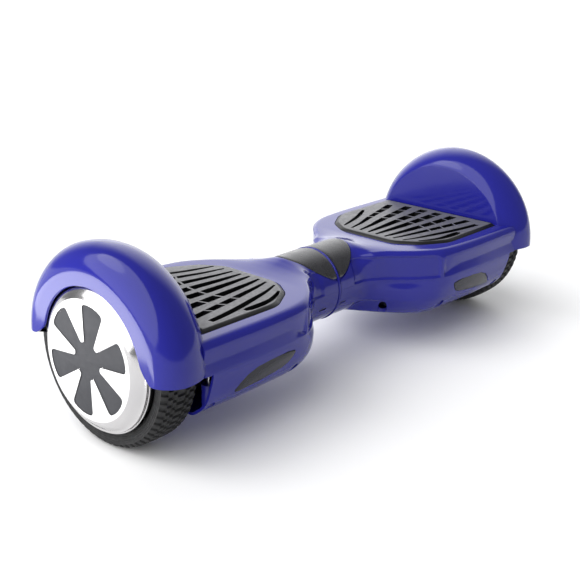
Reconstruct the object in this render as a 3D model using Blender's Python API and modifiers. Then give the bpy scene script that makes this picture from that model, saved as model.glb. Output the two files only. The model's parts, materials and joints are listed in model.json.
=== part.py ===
"""Self-balancing two-wheel board (hoverboard), one named object for each sub-part.

Frame: +X along the wheel axles towards the right-hand wheel, -Y the front with
the lights, +Z up.  Z = 0 is where the tyres touch the ground and X = Y = 0 is
midway between the two halves.  Blender units are metres; the dimensions below
are written in millimetres and multiplied by MM where geometry is made.

The right half is modelled first.  Its symmetric pieces are then mirrored in X
to give the left half, and the pieces that only one half has are made last.
"""

import math

import bmesh
import bpy
from mathutils import Matrix, Vector

MM = 0.001

# ---------------------------------------------------------------- dimensions
TYRE_R = 83.0            # tyre outer radius
AXLE_Z = TYRE_R          # height of the wheel axles
WHEEL_X = 255.0          # middle plane of each wheel
TYRE_W = 39.0            # tyre width
RIM_R = 67.7             # rim lip radius
HUB_FACE_R = 54.5        # flat polished face of the hub cap
HUB_FACE_X = 287.0       # plane of that face
STAR_R = 50.2            # outer radius of the six petals
STAR_TIP_R = 16.0        # where the silver teeth between the petals end
STAR_TURN = 11.3         # angle of the first petal from straight up, towards the front

CROWN_R = 98.0           # mudguard: radius at its crown
CROWN_X = 261.5          # mudguard: plane of its crown
LIP_X = 283.9            # mudguard: plane of its flat outer lip
LIP_OUT_R = 78.3
LIP_IN_R = 63.6
WALL_X = 228.0           # mudguard: plane of its inner wall, which closes the body
REAR_END_Z = 87.0        # mudguard: height of its rear end
WALL_R = 81.4

PIVOT_Z = 80.3           # axis of the centre joint
WAIST_R = 37.3           # round waist at the centre joint
SHAFT_R = 12.0           # pivot tube, outer radius
SHAFT_HALF = 70.0        # pivot tube, half its length
TWIST_DEG = 15.0         # how far the halves turn before the stop tab meets its notch

SEAM_Z = 81.0            # joint line between the upper and lower covers
RIM_Z = 110.4            # top of the cover round the foot mat
FLOOR_Z = 35.0           # underside of the covers
SKIN = 2.6               # wall thickness of the plastic covers
MAT_TOP_Z = 113.0        # the mat stands proud of the deck, with sloping edges
MAT_EDGE_Z = 110.3       # where its edge starts to slope
MAT_SLOPE = 4.5          # how far the edge slopes in
MAT_Z = 107.4            # underside of the foot mat
PRESS = 1.5              # travel of a foot mat on its switches
GAP = 0.3                # clearance between pieces that touch

SCREWS = ((64.3, 43.2), (117.0, 78.5), (222.0, 78.5))   # |x|, |y| of the cover screws
POCKET_Z = 62.0          # where a cover screw's head seats

# Half-width of the body at stations along X
WIDTHS = ((0, 37.3), (34, 37.4), (38, 38.6), (42, 40.0), (46, 41.8), (50, 43.8),
          (56, 47.4), (61, 51.2), (72, 62.4), (85, 74.6), (100, 84.6), (110, 88.6),
          (120, 90.8), (134, 92.5), (177, 94.0), (231, 93.5), (241, 93.5))
JOWL = ((0, 0.0), (44, 0.0), (60, 5.0), (72, 7.0), (85, 5.2), (100, 4.0), (117, 2.0), (140, 0.0), (241, 0.0))  # extra width low on the taper
CROWN_LINE = ((0, 117.6), (44, 117.2), (52, 115.6), (60, 113.4), (72, 111.4), (85, 110.4), (241, 110.4))
KEEL_LINE = ((0, 43.0), (45, 43.0), (55, 41.6), (66, 39.4), (78, 37.8), (90, 36.6), (117, 35.4), (140, 35.0), (241, 35.0))
SIDE_BLEND = ((0, 0.0), (34, 0.0), (38, 0.25), (42, 0.55), (46, 0.8), (50, 1.0), (241, 1.0))

# ------------------------------------------------------------------ scene set-up
for old in list(bpy.data.objects):
    bpy.data.objects.remove(old, do_unlink=True)

PARTS = bpy.data.collections.new("hoverboard")
CUTTERS = bpy.data.collections.new("cutters")
bpy.context.scene.collection.children.link(PARTS)
bpy.context.scene.collection.children.link(CUTTERS)
CUTTERS.hide_render = True


def material(name, rgb, roughness, metallic=0.0):
    mat = bpy.data.materials.new(name)
    mat.use_nodes = True
    shader = mat.node_tree.nodes["Principled BSDF"]
    shader.inputs["Base Color"].default_value = (*rgb, 1.0)
    shader.inputs["Roughness"].default_value = roughness
    shader.inputs["Metallic"].default_value = metallic
    mat.diffuse_color = (*rgb, 1.0)
    return mat


BLUE = material("gloss_blue_plastic", (0.035, 0.035, 0.36), 0.18)
GREY = material("dark_grey_plastic", (0.045, 0.045, 0.05), 0.4)
MAT_RUBBER = material("grey_mat_rubber", (0.12, 0.12, 0.13), 0.75)
TYRE_RUBBER = material("tyre_rubber", (0.02, 0.02, 0.022), 0.7)
POLISHED = material("polished_aluminium", (0.86, 0.86, 0.87), 0.15, 1.0)
STAR_GREY = material("star_grey_paint", (0.18, 0.18, 0.19), 0.45, 0.3)
CAST = material("cast_aluminium", (0.55, 0.56, 0.58), 0.5, 1.0)
STEEL = material("steel", (0.5, 0.5, 0.52), 0.3, 1.0)
LENS = material("smoked_lens", (0.06, 0.06, 0.06), 0.1)
BOARD = material("circuit_board", (0.02, 0.12, 0.05), 0.5)
MAGNET = material("magnet", (0.3, 0.3, 0.32), 0.35, 0.9)
WINDING = material("copper_winding", (0.45, 0.2, 0.08), 0.4, 0.7)
BRONZE = material("bronze_bush", (0.5, 0.33, 0.12), 0.4, 0.9)
BATTERY = material("battery_wrap", (0.02, 0.08, 0.3), 0.45)
BLACK = material("black_plastic", (0.015, 0.015, 0.016), 0.45)


# ------------------------------------------------------------------ small tools
def table(points, x):
    """Value at x of a table of (x, value) pairs, straight between them."""
    for (x0, v0), (x1, v1) in zip(points, points[1:]):
        if x <= x1:
            return v0 + (v1 - v0) * (x - x0) / (x1 - x0)
    return points[-1][1]


def place(obj, cutter=False):
    (CUTTERS if cutter else PARTS).objects.link(obj)
    if cutter:
        obj.hide_render = True
        obj.display_type = "WIRE"
    return obj


def finish_mesh(mesh):
    mesh.shade_smooth()
    mesh.set_sharp_from_angle(angle=math.radians(35))


def new_object(name, bm, mat=None, cutter=False, at=(0, 0, 0), turn=(0, 0, 0)):
    """A mesh object from bm, whose coordinates are in millimetres."""
    bmesh.ops.scale(bm, vec=(MM, MM, MM), verts=bm.verts)
    mesh = bpy.data.meshes.new(name)
    bm.to_mesh(mesh)
    bm.free()
    if mat:
        mesh.materials.append(mat)
    finish_mesh(mesh)
    obj = bpy.data.objects.new(name, mesh)
    obj.location = Vector(at) * MM
    obj.rotation_euler = turn
    return place(obj, cutter)


def box(name, low, high, mat=None, cutter=False, bevel=0.0):
    bm = bmesh.new()
    bmesh.ops.create_cube(bm, size=1.0)
    size = [h - l for l, h in zip(low, high)]
    bmesh.ops.scale(bm, vec=size, verts=bm.verts)
    bmesh.ops.translate(bm, vec=[(l + h) / 2 for l, h in zip(low, high)], verts=bm.verts)
    obj = new_object(name, bm, mat, cutter)
    if bevel:
        mod = obj.modifiers.new("edges", "BEVEL")
        mod.width = bevel * MM
        mod.segments = 2
        mod.limit_method = "ANGLE"
    return obj


def cylinders(name, items, mat=None, cutter=False, sides=16):
    """One mesh of cylinders; each item is (centre, axis, radius, length)."""
    bm = bmesh.new()
    for centre, axis, radius, length in items:
        turn = Vector((0, 0, 1)).rotation_difference(Vector(axis)).to_matrix().to_4x4()
        bmesh.ops.create_cone(bm, cap_ends=True, segments=sides, radius1=radius, radius2=radius,
                              depth=length, matrix=Matrix.Translation(Vector(centre)) @ turn)
    return new_object(name, bm, mat, cutter)


def lathe(name, profile, mat=None, cutter=False, steps=36, closed=True, at=(0, 0, 0),
          turn=(0, math.pi / 2, 0), sweep=360.0, start=0.0):
    """A profile of (radius, height) turned about the object's own Z with a Screw
    modifier.  The default turn lays that axis along world +X."""
    bm = bmesh.new()
    a = math.radians(start)
    verts = [bm.verts.new((r * math.cos(a), r * math.sin(a), h)) for r, h in profile]
    for v0, v1 in zip(verts, verts[1:]):
        bm.edges.new((v0, v1))
    if closed:
        bm.edges.new((verts[-1], verts[0]))
    obj = new_object(name, bm, mat, cutter, at, turn)
    mod = obj.modifiers.new("turned", "SCREW")
    mod.axis = "Z"
    mod.angle = math.radians(sweep)
    mod.steps = mod.render_steps = steps
    mod.use_merge_vertices = True
    mod.merge_threshold = 0.00001
    mod.use_smooth_shade = True
    return obj


def outline(name, points, low, high, mat=None, cutter=False, turn=(0, 0, 0), at=(0, 0, 0)):
    """A flat outline (x, y) filled and extruded from height low to high."""
    curve = bpy.data.curves.new(name, "CURVE")
    curve.dimensions = "2D"
    curve.fill_mode = "BOTH"
    curve.extrude = (high - low) / 2 * MM
    spline = curve.splines.new("POLY")
    spline.points.add(len(points) - 1)
    for point, (x, y) in zip(spline.points, points):
        point.co = (x * MM, y * MM, 0, 1)
    spline.use_cyclic_u = True
    guide = bpy.data.objects.new(name + "_outline", curve)
    bpy.context.scene.collection.objects.link(guide)
    bpy.context.view_layer.update()
    mesh = bpy.data.meshes.new_from_object(guide.evaluated_get(bpy.context.evaluated_depsgraph_get()))
    bpy.data.objects.remove(guide, do_unlink=True)
    bm = bmesh.new()
    bm.from_mesh(mesh)
    bpy.data.meshes.remove(mesh)
    bmesh.ops.remove_doubles(bm, verts=bm.verts, dist=1e-6)
    bmesh.ops.translate(bm, vec=(0, 0, (low + high) / 2 * MM), verts=bm.verts)
    bmesh.ops.recalc_face_normals(bm, faces=bm.faces)
    bmesh.ops.scale(bm, vec=(1 / MM, 1 / MM, 1 / MM), verts=bm.verts)
    return new_object(name, bm, mat, cutter, at, turn)


def boolean(obj, other, operation="DIFFERENCE"):
    mod = obj.modifiers.new(operation.lower() + "_" + other.name, "BOOLEAN")
    mod.operation = operation
    mod.solver = "EXACT"
    mod.object = other
    return obj


def evaluated_mesh(obj):
    """The object's mesh with its modifiers applied, in world space."""
    bpy.context.view_layer.update()
    graph = bpy.context.evaluated_depsgraph_get()
    mesh = bpy.data.meshes.new_from_object(obj.evaluated_get(graph))
    mesh.transform(obj.matrix_world)
    return mesh


def mirrored(obj, name):
    """The same piece for the other half, mirrored in X."""
    mesh = evaluated_mesh(obj)
    mesh.transform(Matrix.Scale(-1, 4, (1, 0, 0)))
    mesh.flip_normals()
    origin = Vector(obj.location)
    origin.x = -origin.x
    mesh.transform(Matrix.Translation(-origin))
    mesh.name = name
    copy = bpy.data.objects.new(name, mesh)
    copy.location = origin
    return place(copy)


def axis_empty(name, at):
    """An empty on a joint's axis, which the moving pieces are parented to."""
    empty = bpy.data.objects.new(name, None)
    empty.empty_display_size = 0.03
    empty.location = Vector(at) * MM
    PARTS.objects.link(empty)
    return empty


def hang(children, empty):
    bpy.context.view_layer.update()
    for child in children:
        child.parent = empty
        child.matrix_parent_inverse = empty.matrix_world.inverted()


# ------------------------------------------------------------- body surface
def section(x):
    """Half cross-section of the body at x: two lists of (y, z) on the +Y side,
    the upper one from the top centre line to the seam and the lower one from the
    seam to the bottom centre line."""
    w, top, keel = table(WIDTHS, x), table(CROWN_LINE, x), table(KEEL_LINE, x)
    blend = table(SIDE_BLEND, x)
    flat = w - 9.0
    upper = [(0, top), (flat * 0.5, RIM_Z + (top - RIM_Z) * 0.6), (flat, RIM_Z), (w - 3.0, RIM_Z - 1.6),
             (w - 0.6, RIM_Z - 5.5), (w, 98.0), (w, SEAM_Z + 0.2)]
    base = w - 31.0 if w > 62 else w * 0.5
    jowl = table(JOWL, x)
    lower = [(w, SEAM_Z - 0.4), (w - 0.3, 77.6), (w - 2.6 + 0.7 * jowl, 69.0), (w - 5.6 + jowl, 59.0),
             (w - 10.0 + jowl, keel + 15.0), (w - 18.5 + jowl, keel + 6.0), (base + 0.6 * jowl, keel), (0, keel)]
    upper_angles = (0, 24, 46, 62, 73, 82, 88.6)
    lower_angles = (90.1, 97, 109, 121, 134, 148, 163, 180)

    def round_point(degrees):
        a = math.radians(degrees)
        return WAIST_R * math.sin(a), PIVOT_Z + WAIST_R * math.cos(a)

    def mix(body, angles):
        out = []
        for (y, z), degrees in zip(body, angles):
            cy, cz = round_point(degrees)
            out.append((cy + (y - cy) * blend, cz + (z - cz) * blend))
        return out

    return mix(upper, upper_angles), mix(lower, lower_angles)


def skin(name, stations, which, mat, thickness=SKIN, cutter=False):
    """Open lofted surface through the sections, made solid inwards with Solidify."""
    bm = bmesh.new()
    rows = []
    for x in stations:
        half = section(x)[which]
        row = ([(-y, z) for y, z in half[::-1]] + half[1:]) if which == 0 else \
              ([(-y, z) for y, z in half] + half[:-1][::-1])
        rows.append([bm.verts.new((x, y, z)) for y, z in row])
    for a, b in zip(rows, rows[1:]):
        for j in range(len(a) - 1):
            quad = (a[j], b[j], b[j + 1], a[j + 1])
            bm.faces.new(quad if which == 0 else quad[::-1])
    obj = new_object(name, bm, mat, cutter)
    mod = obj.modifiers.new("wall", "SOLIDIFY")
    mod.thickness = thickness * MM
    mod.offset = -1.0
    mod.use_even_offset = True
    return obj


def core(name, stations, which, inset):
    """Closed solid that fills the space under the skin, inset from its surface."""
    bm = bmesh.new()
    rows = []
    for x in stations:
        half = section(x)[which]
        ring = [(-y, z) for y, z in half[::-1]] + half[1:] if which == 0 else \
               [(-y, z) for y, z in half] + half[:-1][::-1]
        centre_z = SEAM_Z
        pulled = []
        for y, z in ring:
            d = Vector((y, z - centre_z))
            length = max(d.length, 1e-6)
            d *= max(length - inset, 0) / length
            pulled.append((d.x, centre_z + d.y))
        rows.append([bm.verts.new((x, y, z)) for y, z in pulled])
    for a, b in zip(rows, rows[1:]):
        for j in range(len(a)):
            k = (j + 1) % len(a)
            bm.faces.new((a[j], b[j], b[k], a[k]))
    bm.faces.new(rows[0])
    bm.faces.new(rows[-1][::-1])
    bmesh.ops.recalc_face_normals(bm, faces=bm.faces)
    return new_object(name, bm, cutter=True)


def mudguard_profile(inset=0.0, points=5):
    """(radius, x - WHEEL_X) from the lip's inner edge round the crown to the wall."""
    out_h, wall_h, crown_h = LIP_X - WHEEL_X - inset, WALL_X - WHEEL_X + inset, CROWN_X - WHEEL_X
    profile = [(LIP_IN_R, out_h), (LIP_OUT_R - inset, out_h)]
    for i in range(1, points):
        a = math.pi / 2 * i / points
        profile.append((LIP_OUT_R + (CROWN_R - LIP_OUT_R) * math.sin(a) - inset,
                        crown_h + (out_h - crown_h) * math.cos(a)))
    for i in range(points):
        a = math.pi / 2 * i / points
        profile.append((WALL_R + (CROWN_R - WALL_R) * math.cos(a) - inset,
                        crown_h + (wall_h - crown_h) * math.sin(a)))
    profile.append((WALL_R - inset, wall_h))
    return profile


def mat_outline(offset=0.0):
    """Plan of a foot mat, round at its inner end, as (x, y); offset grows it."""
    half = [(226.0, 72.5), (223.0, 75.5), (135.0, 75.0), (126.0, 72.0), (114.0, 65.0), (103.0, 56.0),
            (95.0, 45.5), (90.0, 34.0), (88.0, 20.0), (88.0, 0.0)]
    ring = half + [(x, -y) for x, y in half[:-1][::-1]]
    grown = []
    for i, (x, y) in enumerate(ring):
        before, after = Vector(ring[i - 1]), Vector(ring[(i + 1) % len(ring)])
        edge = (after - before).normalized()
        grown.append((x + edge.y * offset, y - edge.x * offset))
    return grown


def slope_top(obj, edge, inset, height):
    """Raises the flat top of an extruded outline to height, with its edge drawn in
    from the points of edge to those of inset."""
    bm = bmesh.new()
    bm.from_mesh(obj.data)
    level = max(v.co.z for v in bm.verts)
    top = [f for f in bm.faces if all(v.co.z > level - 1e-6 for v in f.verts)]
    made = bmesh.ops.extrude_face_region(bm, geom=top)["geom"]
    for v in made:
        if isinstance(v, bmesh.types.BMVert):
            near = min(range(len(edge)), key=lambda i: (v.co.x / MM - edge[i][0]) ** 2 + (v.co.y / MM - edge[i][1]) ** 2)
            v.co = Vector((*inset[near], height)) * MM
    bmesh.ops.delete(bm, geom=[f for f in top if f.is_valid], context="FACES_ONLY")
    bmesh.ops.recalc_face_normals(bm, faces=bm.faces)
    bm.to_mesh(obj.data)
    bm.free()


def star_outline(grow=0.0):
    """Six petals joined at the centre; grow widens every edge."""
    points = []
    for k in range(6):
        middle = STAR_TURN + 60 * k
        for r, off in ((STAR_R - 4.5, -15.8), (STAR_R - 0.8, -13.2), (STAR_R, 0.0), (STAR_R - 0.8, 13.2),
                       (STAR_R - 4.5, 15.8)):
            a = math.radians(middle + off)
            r += grow
            points.append((r * math.cos(a), r * math.sin(a)))
        tooth = math.radians(middle + 30)
        along = Vector((math.cos(tooth), math.sin(tooth)))
        across = Vector((-along.y, along.x))
        for side in (-1, 0, 1):
            r = STAR_TIP_R + grow + (2.0 if side else 0.0)
            points.append(tuple(along * r + across * side * (2.2 - grow)))
    return points


# ------------------------------------------------------------- right half: covers
ALONG_UPPER = (2.2, 34, 39, 45, 51, 60, 72, 86, 100, 117, 140, 241)
ALONG_LOWER = (2.2, 34, 39, 45, 51, 60, 72, 86, 100, 117, 140, 230.8)

upper = skin("upper_cover_right", ALONG_UPPER, 0, BLUE)
wheel_space = lathe("wheel_space", mudguard_profile(1.3)[1:] + [(0, WALL_X - WHEEL_X + 1.3), (0, LIP_X - WHEEL_X - 1.3)],
                    cutter=True, steps=28, closed=False, at=(WHEEL_X, 0, AXLE_Z))
boolean(upper, wheel_space)

guard = lathe("mudguard_surface", mudguard_profile() + [(16.0, WALL_X - WHEEL_X)], cutter=True, steps=16,
              closed=False, at=(WHEEL_X, 0, AXLE_Z), sweep=180.0, start=90.0)
wall = guard.modifiers.new("wall", "SOLIDIFY")
wall.thickness = SKIN * MM
wall.offset = -1.0
wall.use_even_offset = True
boolean(upper, guard, "UNION")
boolean(upper, box("rear_end_cut", (241.6, 58, 74), (293, 106, REAR_END_Z), cutter=True))

deck = outline("deck_tray", mat_outline(3.0), 102.4, 109.2, cutter=True)
boolean(upper, deck, "UNION")
upper_posts = cylinders("upper_posts", [((x, s * y, (POCKET_Z + 4.4 + 109.4) / 2), (0, 0, 1), 4.6, 109.4 - POCKET_Z - 4.4)
                                        for x, y in SCREWS for s in (1, -1)], cutter=True, sides=6)
boolean(upper, upper_posts, "UNION")
mat_pocket = outline("mat_pocket", mat_outline(0.5), MAT_Z - PRESS - GAP, 125.0, cutter=True)
boolean(upper, mat_pocket)
post_holes = box("post_hole_front", (129, -38.5, 98), (161, -27.5, 108), cutter=True)
boolean(upper, post_holes)
boolean(upper, box("post_hole_rear", (129, 27.5, 98), (161, 38.5, 108), cutter=True))
screw_bores = cylinders("screw_bores", [((x, s * y, 69.0), (0, 0, 1), 2.25, 20.3) for x, y in SCREWS for s in (1, -1)],
                        cutter=True, sides=8)
boolean(upper, screw_bores)

lower = skin("lower_cover_right", ALONG_LOWER, 1, BLUE)
end_core = core("end_core", (WALL_X + 0.2, 230.7), 1, 1.0)
boolean(lower, end_core, "UNION")
bosses = cylinders("lower_bosses", [((x, s * y, (34.0 + POCKET_Z + 4.0) / 2), (0, 0, 1), 7.0, POCKET_Z + 4.0 - 34.0)
                                    for x, y in SCREWS for s in (1, -1)], cutter=True, sides=8)
boss_limit = core("boss_limit", ALONG_LOWER[:-1] + (230.7,), 1, 1.2)
boolean(bosses, boss_limit, "INTERSECT")
boolean(lower, bosses, "UNION")
pockets = cylinders("screw_pockets", [((x, s * y, (20.0 + POCKET_Z) / 2), (0, 0, 1), 5.0, POCKET_Z - 20.0)
                                      for x, y in SCREWS for s in (1, -1)], cutter=True, sides=8)
boolean(lower, pockets)
boolean(lower, screw_bores)
axle_hole = cylinders("axle_hole", [((WALL_X, 0, AXLE_Z), (1, 0, 0), 16.0, 20.0)], cutter=True, sides=24)
boolean(lower, axle_hole)

# Light window and lens in the front lower wall, which leans back by this angle
LENS_LEAN = math.radians(15.5)
LENS_AT = (164.0, -88.2, 60.5)
lens_shape = [(-34.0, -1.0), (-30.0, 4.0), (-20.0, 7.8), (26.0, 8.6), (31.5, 7.0), (34.5, 2.5), (34.5, -2.5),
              (31.0, -6.5), (26.0, -8.2), (-28.0, -8.2), (-33.0, -5.0)]
lens_turn = (math.pi / 2 - LENS_LEAN, 0, 0)
window = outline("light_window", [(x * 1.012, z * 1.045) for x, z in lens_shape], -8.0, 8.0, cutter=True,
                 turn=lens_turn, at=LENS_AT)
boolean(lower, window)
light_lens = outline("light_lens_right", lens_shape, -2.4, 0.3, LENS, turn=lens_turn, at=LENS_AT)

# ------------------------------------------------------------- right half: waist trim and mat
trim = lathe("waist_insert_right", [(37.8, 51.0), (37.8, 2.2), (36.3, 2.2), (36.3, 51.0)], GREY, steps=36,
             at=(0, 0, PIVOT_Z))
trim_plan = [(44.0 * math.cos(math.radians(a)), 35.2 * math.sin(math.radians(a))) for a in range(-90, 91, 12)]
boolean(trim, outline("trim_plan", [(2.2, -35.2)] + trim_plan[1:-1] + [(2.2, 35.2)], 88.0, 130.0, cutter=True), "INTERSECT")
trim_seat = lathe("trim_seat_ring", [(45.0, 60.0), (45.0, 0.0), (36.0, 0.0), (36.0, 60.0)], cutter=True, steps=36,
                  at=(0, 0, PIVOT_Z))
boolean(trim_seat, outline("trim_seat_plan", [(0.0, -35.6)] + [(x * 1.01 + 0.1, y * 1.012) for x, y in trim_plan[1:-1]]
                           + [(0.0, 35.6)], 87.5, 130.0, cutter=True), "INTERSECT")
boolean(upper, trim_seat)

foot_mat = outline("foot_mat_right", mat_outline(), MAT_Z, MAT_EDGE_Z, MAT_RUBBER)
slope_top(foot_mat, mat_outline(), mat_outline(-MAT_SLOPE), MAT_TOP_Z)
boolean(foot_mat, box("mat_post_front", (130, -37.2, 95.4), (160, -28.8, 108.5), cutter=True), "UNION")
boolean(foot_mat, box("mat_post_rear", (130, 28.8, 95.4), (160, 37.2, 108.5), cutter=True), "UNION")

# ------------------------------------------------------------- right half: frame
BOSS_END = 84.0
chassis = box("chassis_right", (80, -40, 43.5), (206, 40, 80), CAST)
boolean(chassis, box("tray_space", (84, -36.4, 47.5), (202, 36.4, 90), cutter=True))
boolean(chassis, cylinders("pivot_neck", [((43.5, 0, PIVOT_Z), (1, 0, 0), 21.0, 78.0)], cutter=True, sides=20), "UNION")
boolean(chassis, cylinders("pivot_flange", [((12.0, 0, PIVOT_Z), (1, 0, 0), 28.0, 18.0)], cutter=True, sides=24), "UNION")
boolean(chassis, box("axle_saddle", (204, -24, 43.5), (226.5, 24, AXLE_Z), cutter=True), "UNION")
boolean(chassis, box("axle_groove", (200, -5.1, 76.7), (230, 5.1, 90), cutter=True))
boolean(chassis, cylinders("board_posts", [((x, s * 38.2, 85.4), (0, 0, 1), 2.4, 12.6) for x in (115, 175) for s in (1, -1)],
                           cutter=True, sides=10), "UNION")
axle_clamp = box("axle_clamp_right", (208, -23.5, AXLE_Z + 0.3), (226, 23.5, 98), CAST, bevel=2.0)
boolean(axle_clamp, box("clamp_groove", (200, -5.1, 80), (230, 5.1, 89.3), cutter=True))

gyro_board = outline("gyro_board_right", [(110, -41), (180, -41), (180, 41), (110, 41)], 92.0, 93.6, BOARD)
light_board = box("light_board_right", (136, -79.6, 54.0), (192, -78.0, 67.0), BOARD)

# ------------------------------------------------------------- right half: wheel
WHEEL_AT = (WHEEL_X, 0, AXLE_Z)
half_w = TYRE_W / 2
tyre = lathe("tyre_right", [(66.0, 14.5), (70.0, 17.8), (75.0, half_w), (78.5, half_w - 0.2), (81.4, half_w - 3.2),
                            (TYRE_R, half_w - 7.0), (TYRE_R, 7.0 - half_w), (81.4, 3.2 - half_w),
                            (78.5, 0.2 - half_w), (75.0, -half_w), (70.0, -17.8), (66.0, -14.5)],
             TYRE_RUBBER, steps=32, at=WHEEL_AT)
wheel_rim = lathe("wheel_rim_right", [(66.5, 22.0), (RIM_R, 22.0), (RIM_R, 19.6), (65.7, 15.2), (65.7, -15.2), (RIM_R, -19.6),
                                      (RIM_R, -22.0), (61.0, -22.0), (61.0, 14.5), (18.0, 14.5), (18.0, 11.0),
                                      (12.3, 11.0), (12.3, 19.5), (66.5, 19.5)], POLISHED, steps=32, at=WHEEL_AT)
face = HUB_FACE_X - WHEEL_X
hub_cap = lathe("hub_cap_right", [(0, face), (HUB_FACE_R, face), (66.2, 22.2), (66.2, 19.8), (63.5, 19.8),
                                  (52.6, face - 3.0), (0, face - 3.0)], POLISHED, steps=32, closed=False, at=WHEEL_AT)
star_turn = (0, math.pi / 2, 0)
star_pocket = outline("star_pocket", [(-x, -y) for x, y in star_outline(0.3)], face - 2.2, face + 3.0, cutter=True,
                      turn=star_turn, at=WHEEL_AT)
boolean(hub_cap, star_pocket)
hub_star = outline("hub_star_right", [(-x, -y) for x, y in star_outline()], face - 1.9, face - 0.8, STAR_GREY,
                   turn=star_turn, at=WHEEL_AT)
magnet_ring = lathe("magnet_ring_right", [(60.7, 12.5), (60.7, -12.5), (55.0, -12.5), (55.0, 12.5)], MAGNET, steps=32, at=WHEEL_AT)
side_cover = lathe("motor_side_cover_right", [(60.6, -17.5), (60.6, -21.5), (7.5, -21.5), (7.5, -20.3), (12.3, -20.3),
                                              (12.3, -12.0), (17.0, -12.0), (17.0, -17.5)], CAST, steps=22, at=WHEEL_AT)
outer_bearing = lathe("outer_bearing_right", [(12.0, 19.2), (12.0, 11.3), (6.25, 11.3), (6.25, 19.2)], STEEL, steps=16, at=WHEEL_AT)
inner_bearing = lathe("inner_bearing_right", [(12.0, -12.3), (12.0, -20.0), (6.25, -20.0), (6.25, -12.3)], STEEL, steps=16, at=WHEEL_AT)
stator = lathe("stator_right", [(47.0, 10.6), (52.0, 8.0), (52.0, -8.0), (47.0, -10.6), (8.4, -10.6), (8.4, 10.6)], WINDING,
               steps=24, at=WHEEL_AT)
axle = lathe("axle_right", [(0, 21.0), (6.0, 21.0), (6.0, 10.0), (8.0, 10.0), (8.0, -10.0), (6.0, -10.0), (6.0, -48.0), (0, -48.0)],
             STEEL, steps=16, closed=False, at=WHEEL_AT)
boolean(axle, box("axle_flat_front", (200, -12, 70), (229, -4.8, 96), cutter=True))
boolean(axle, box("axle_flat_rear", (200, 4.8, 70), (229, 12, 96), cutter=True))

# ------------------------------------------------------------- left half, mirrored
LEFT = {}
for right in (upper, lower, light_lens, trim, foot_mat, chassis, axle_clamp, gyro_board, light_board, tyre, wheel_rim,
              hub_cap, hub_star, magnet_ring, side_cover, outer_bearing, inner_bearing, stator, axle):
    LEFT[right.name] = mirrored(right, right.name.replace("right", "left"))

# Cover screws, three along each long edge of each half
for side, label in ((1, "right"), (-1, "left")):
    for i, (x, y) in enumerate(SCREWS, 1):
        for s, where in ((-1, "front"), (1, "rear")):
            lathe(f"cover_screw_{label}_{where}_{i}", [(0, POCKET_Z + 13.5), (1.9, POCKET_Z + 13.5), (1.9, POCKET_Z - 0.3),
                                                        (4.0, POCKET_Z - 0.3), (4.0, POCKET_Z - 2.6), (0, POCKET_Z - 2.6)],
                  STEEL, steps=8, closed=False, at=(side * x, s * y, 0), turn=(0, 0, 0))

# ------------------------------------------------------------- centre joint
shaft = lathe("pivot_shaft", [(SHAFT_R, SHAFT_HALF), (SHAFT_R, 69.2), (11.1, 69.2), (11.1, 66.4), (SHAFT_R, 66.4),
                              (SHAFT_R, -SHAFT_HALF), (9.0, -SHAFT_HALF), (9.0, SHAFT_HALF)],
              STEEL, steps=20, at=(0, 0, PIVOT_Z))
lathe("pivot_bush_inner", [(15.0, 20.0), (15.0, 4.0), (12.25, 4.0), (12.25, 20.0)], BRONZE, steps=20, at=(0, 0, PIVOT_Z))
lathe("pivot_bush_outer", [(15.0, 66.0), (15.0, 50.0), (12.25, 50.0), (12.25, 66.0)], BRONZE, steps=20, at=(0, 0, PIVOT_Z))
lathe("retaining_ring", [(14.8, 68.7), (14.8, 66.9), (11.4, 66.9), (11.4, 68.7)], STEEL, steps=20, at=(0, 0, PIVOT_Z))
lathe("joint_ring", [(WAIST_R + 0.9, 1.4), (WAIST_R + 0.9, -1.4), (33.5, -1.4), (33.5, 1.4)], BLUE, steps=32, at=(0, 0, PIVOT_Z))
boolean(chassis, cylinders("bush_bore", [((44.0, 0, PIVOT_Z), (1, 0, 0), 15.3, 82.0)], cutter=True, sides=20))
boolean(LEFT["chassis_right"], cylinders("shaft_bore", [((-44.0, 0, PIVOT_Z), (1, 0, 0), 12.3, 82.0)], cutter=True, sides=20))
# The stop: a tab on the left frame inside a wider notch in the right frame's flange
boolean(LEFT["chassis_right"], box("stop_tab", (-8.0, -4.0, PIVOT_Z + 21.0), (6.0, 4.0, PIVOT_Z + 27.0), cutter=True), "UNION")
boolean(chassis, box("stop_notch", (0.0, -11.4, PIVOT_Z + 18.0), (8.0, 11.4, PIVOT_Z + 30.0), cutter=True))

# ------------------------------------------------------------- power, control and switches
box("battery_pack", (85, -35.6, 48.0), (201, 35.6, 75.0), BATTERY, bevel=3.0)
control = box("control_board", (-198, -33, 51.0), (-92, 33, 52.8), BOARD)
boolean(control, box("heat_sink", (-190, -28, 52.0), (-140, 28, 66.0), cutter=True), "UNION")
boolean(control, cylinders("capacitors", [((-120, y, 60.0), (0, 0, 1), 6.0, 17.0) for y in (-20, 0, 20)], cutter=True, sides=12), "UNION")

# Tapered rear wall of each half: the button is in the right one, the charging port in the left
TAPER_Z = 95.0
BUTTON_X, PORT_X = 93.0, 80.0


def on_taper(side, out):
    """Point on the rear taper, moved outwards, and the taper's outward direction."""
    x, low, high = (BUTTON_X, 85, 100) if side > 0 else (PORT_X, 72, 85)
    slope = math.atan2(table(WIDTHS, high) - table(WIDTHS, low), high - low)
    n = Vector((-side * math.sin(slope), math.cos(slope), 0))
    return Vector((side * x, table(WIDTHS, x), TAPER_Z)) + n * out, n


def taper_turn(side):
    n = on_taper(side, 0)[1]
    return Vector((0, 0, 1)).rotation_difference(n).to_euler()


def taper_cylinder(name, side, radius, inner, outer, mat=None, cutter=False, sides=20):
    centre, n = on_taper(side, (inner + outer) / 2)
    return cylinders(name, [(centre, n, radius, outer - inner)], mat, cutter, sides)


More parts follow.
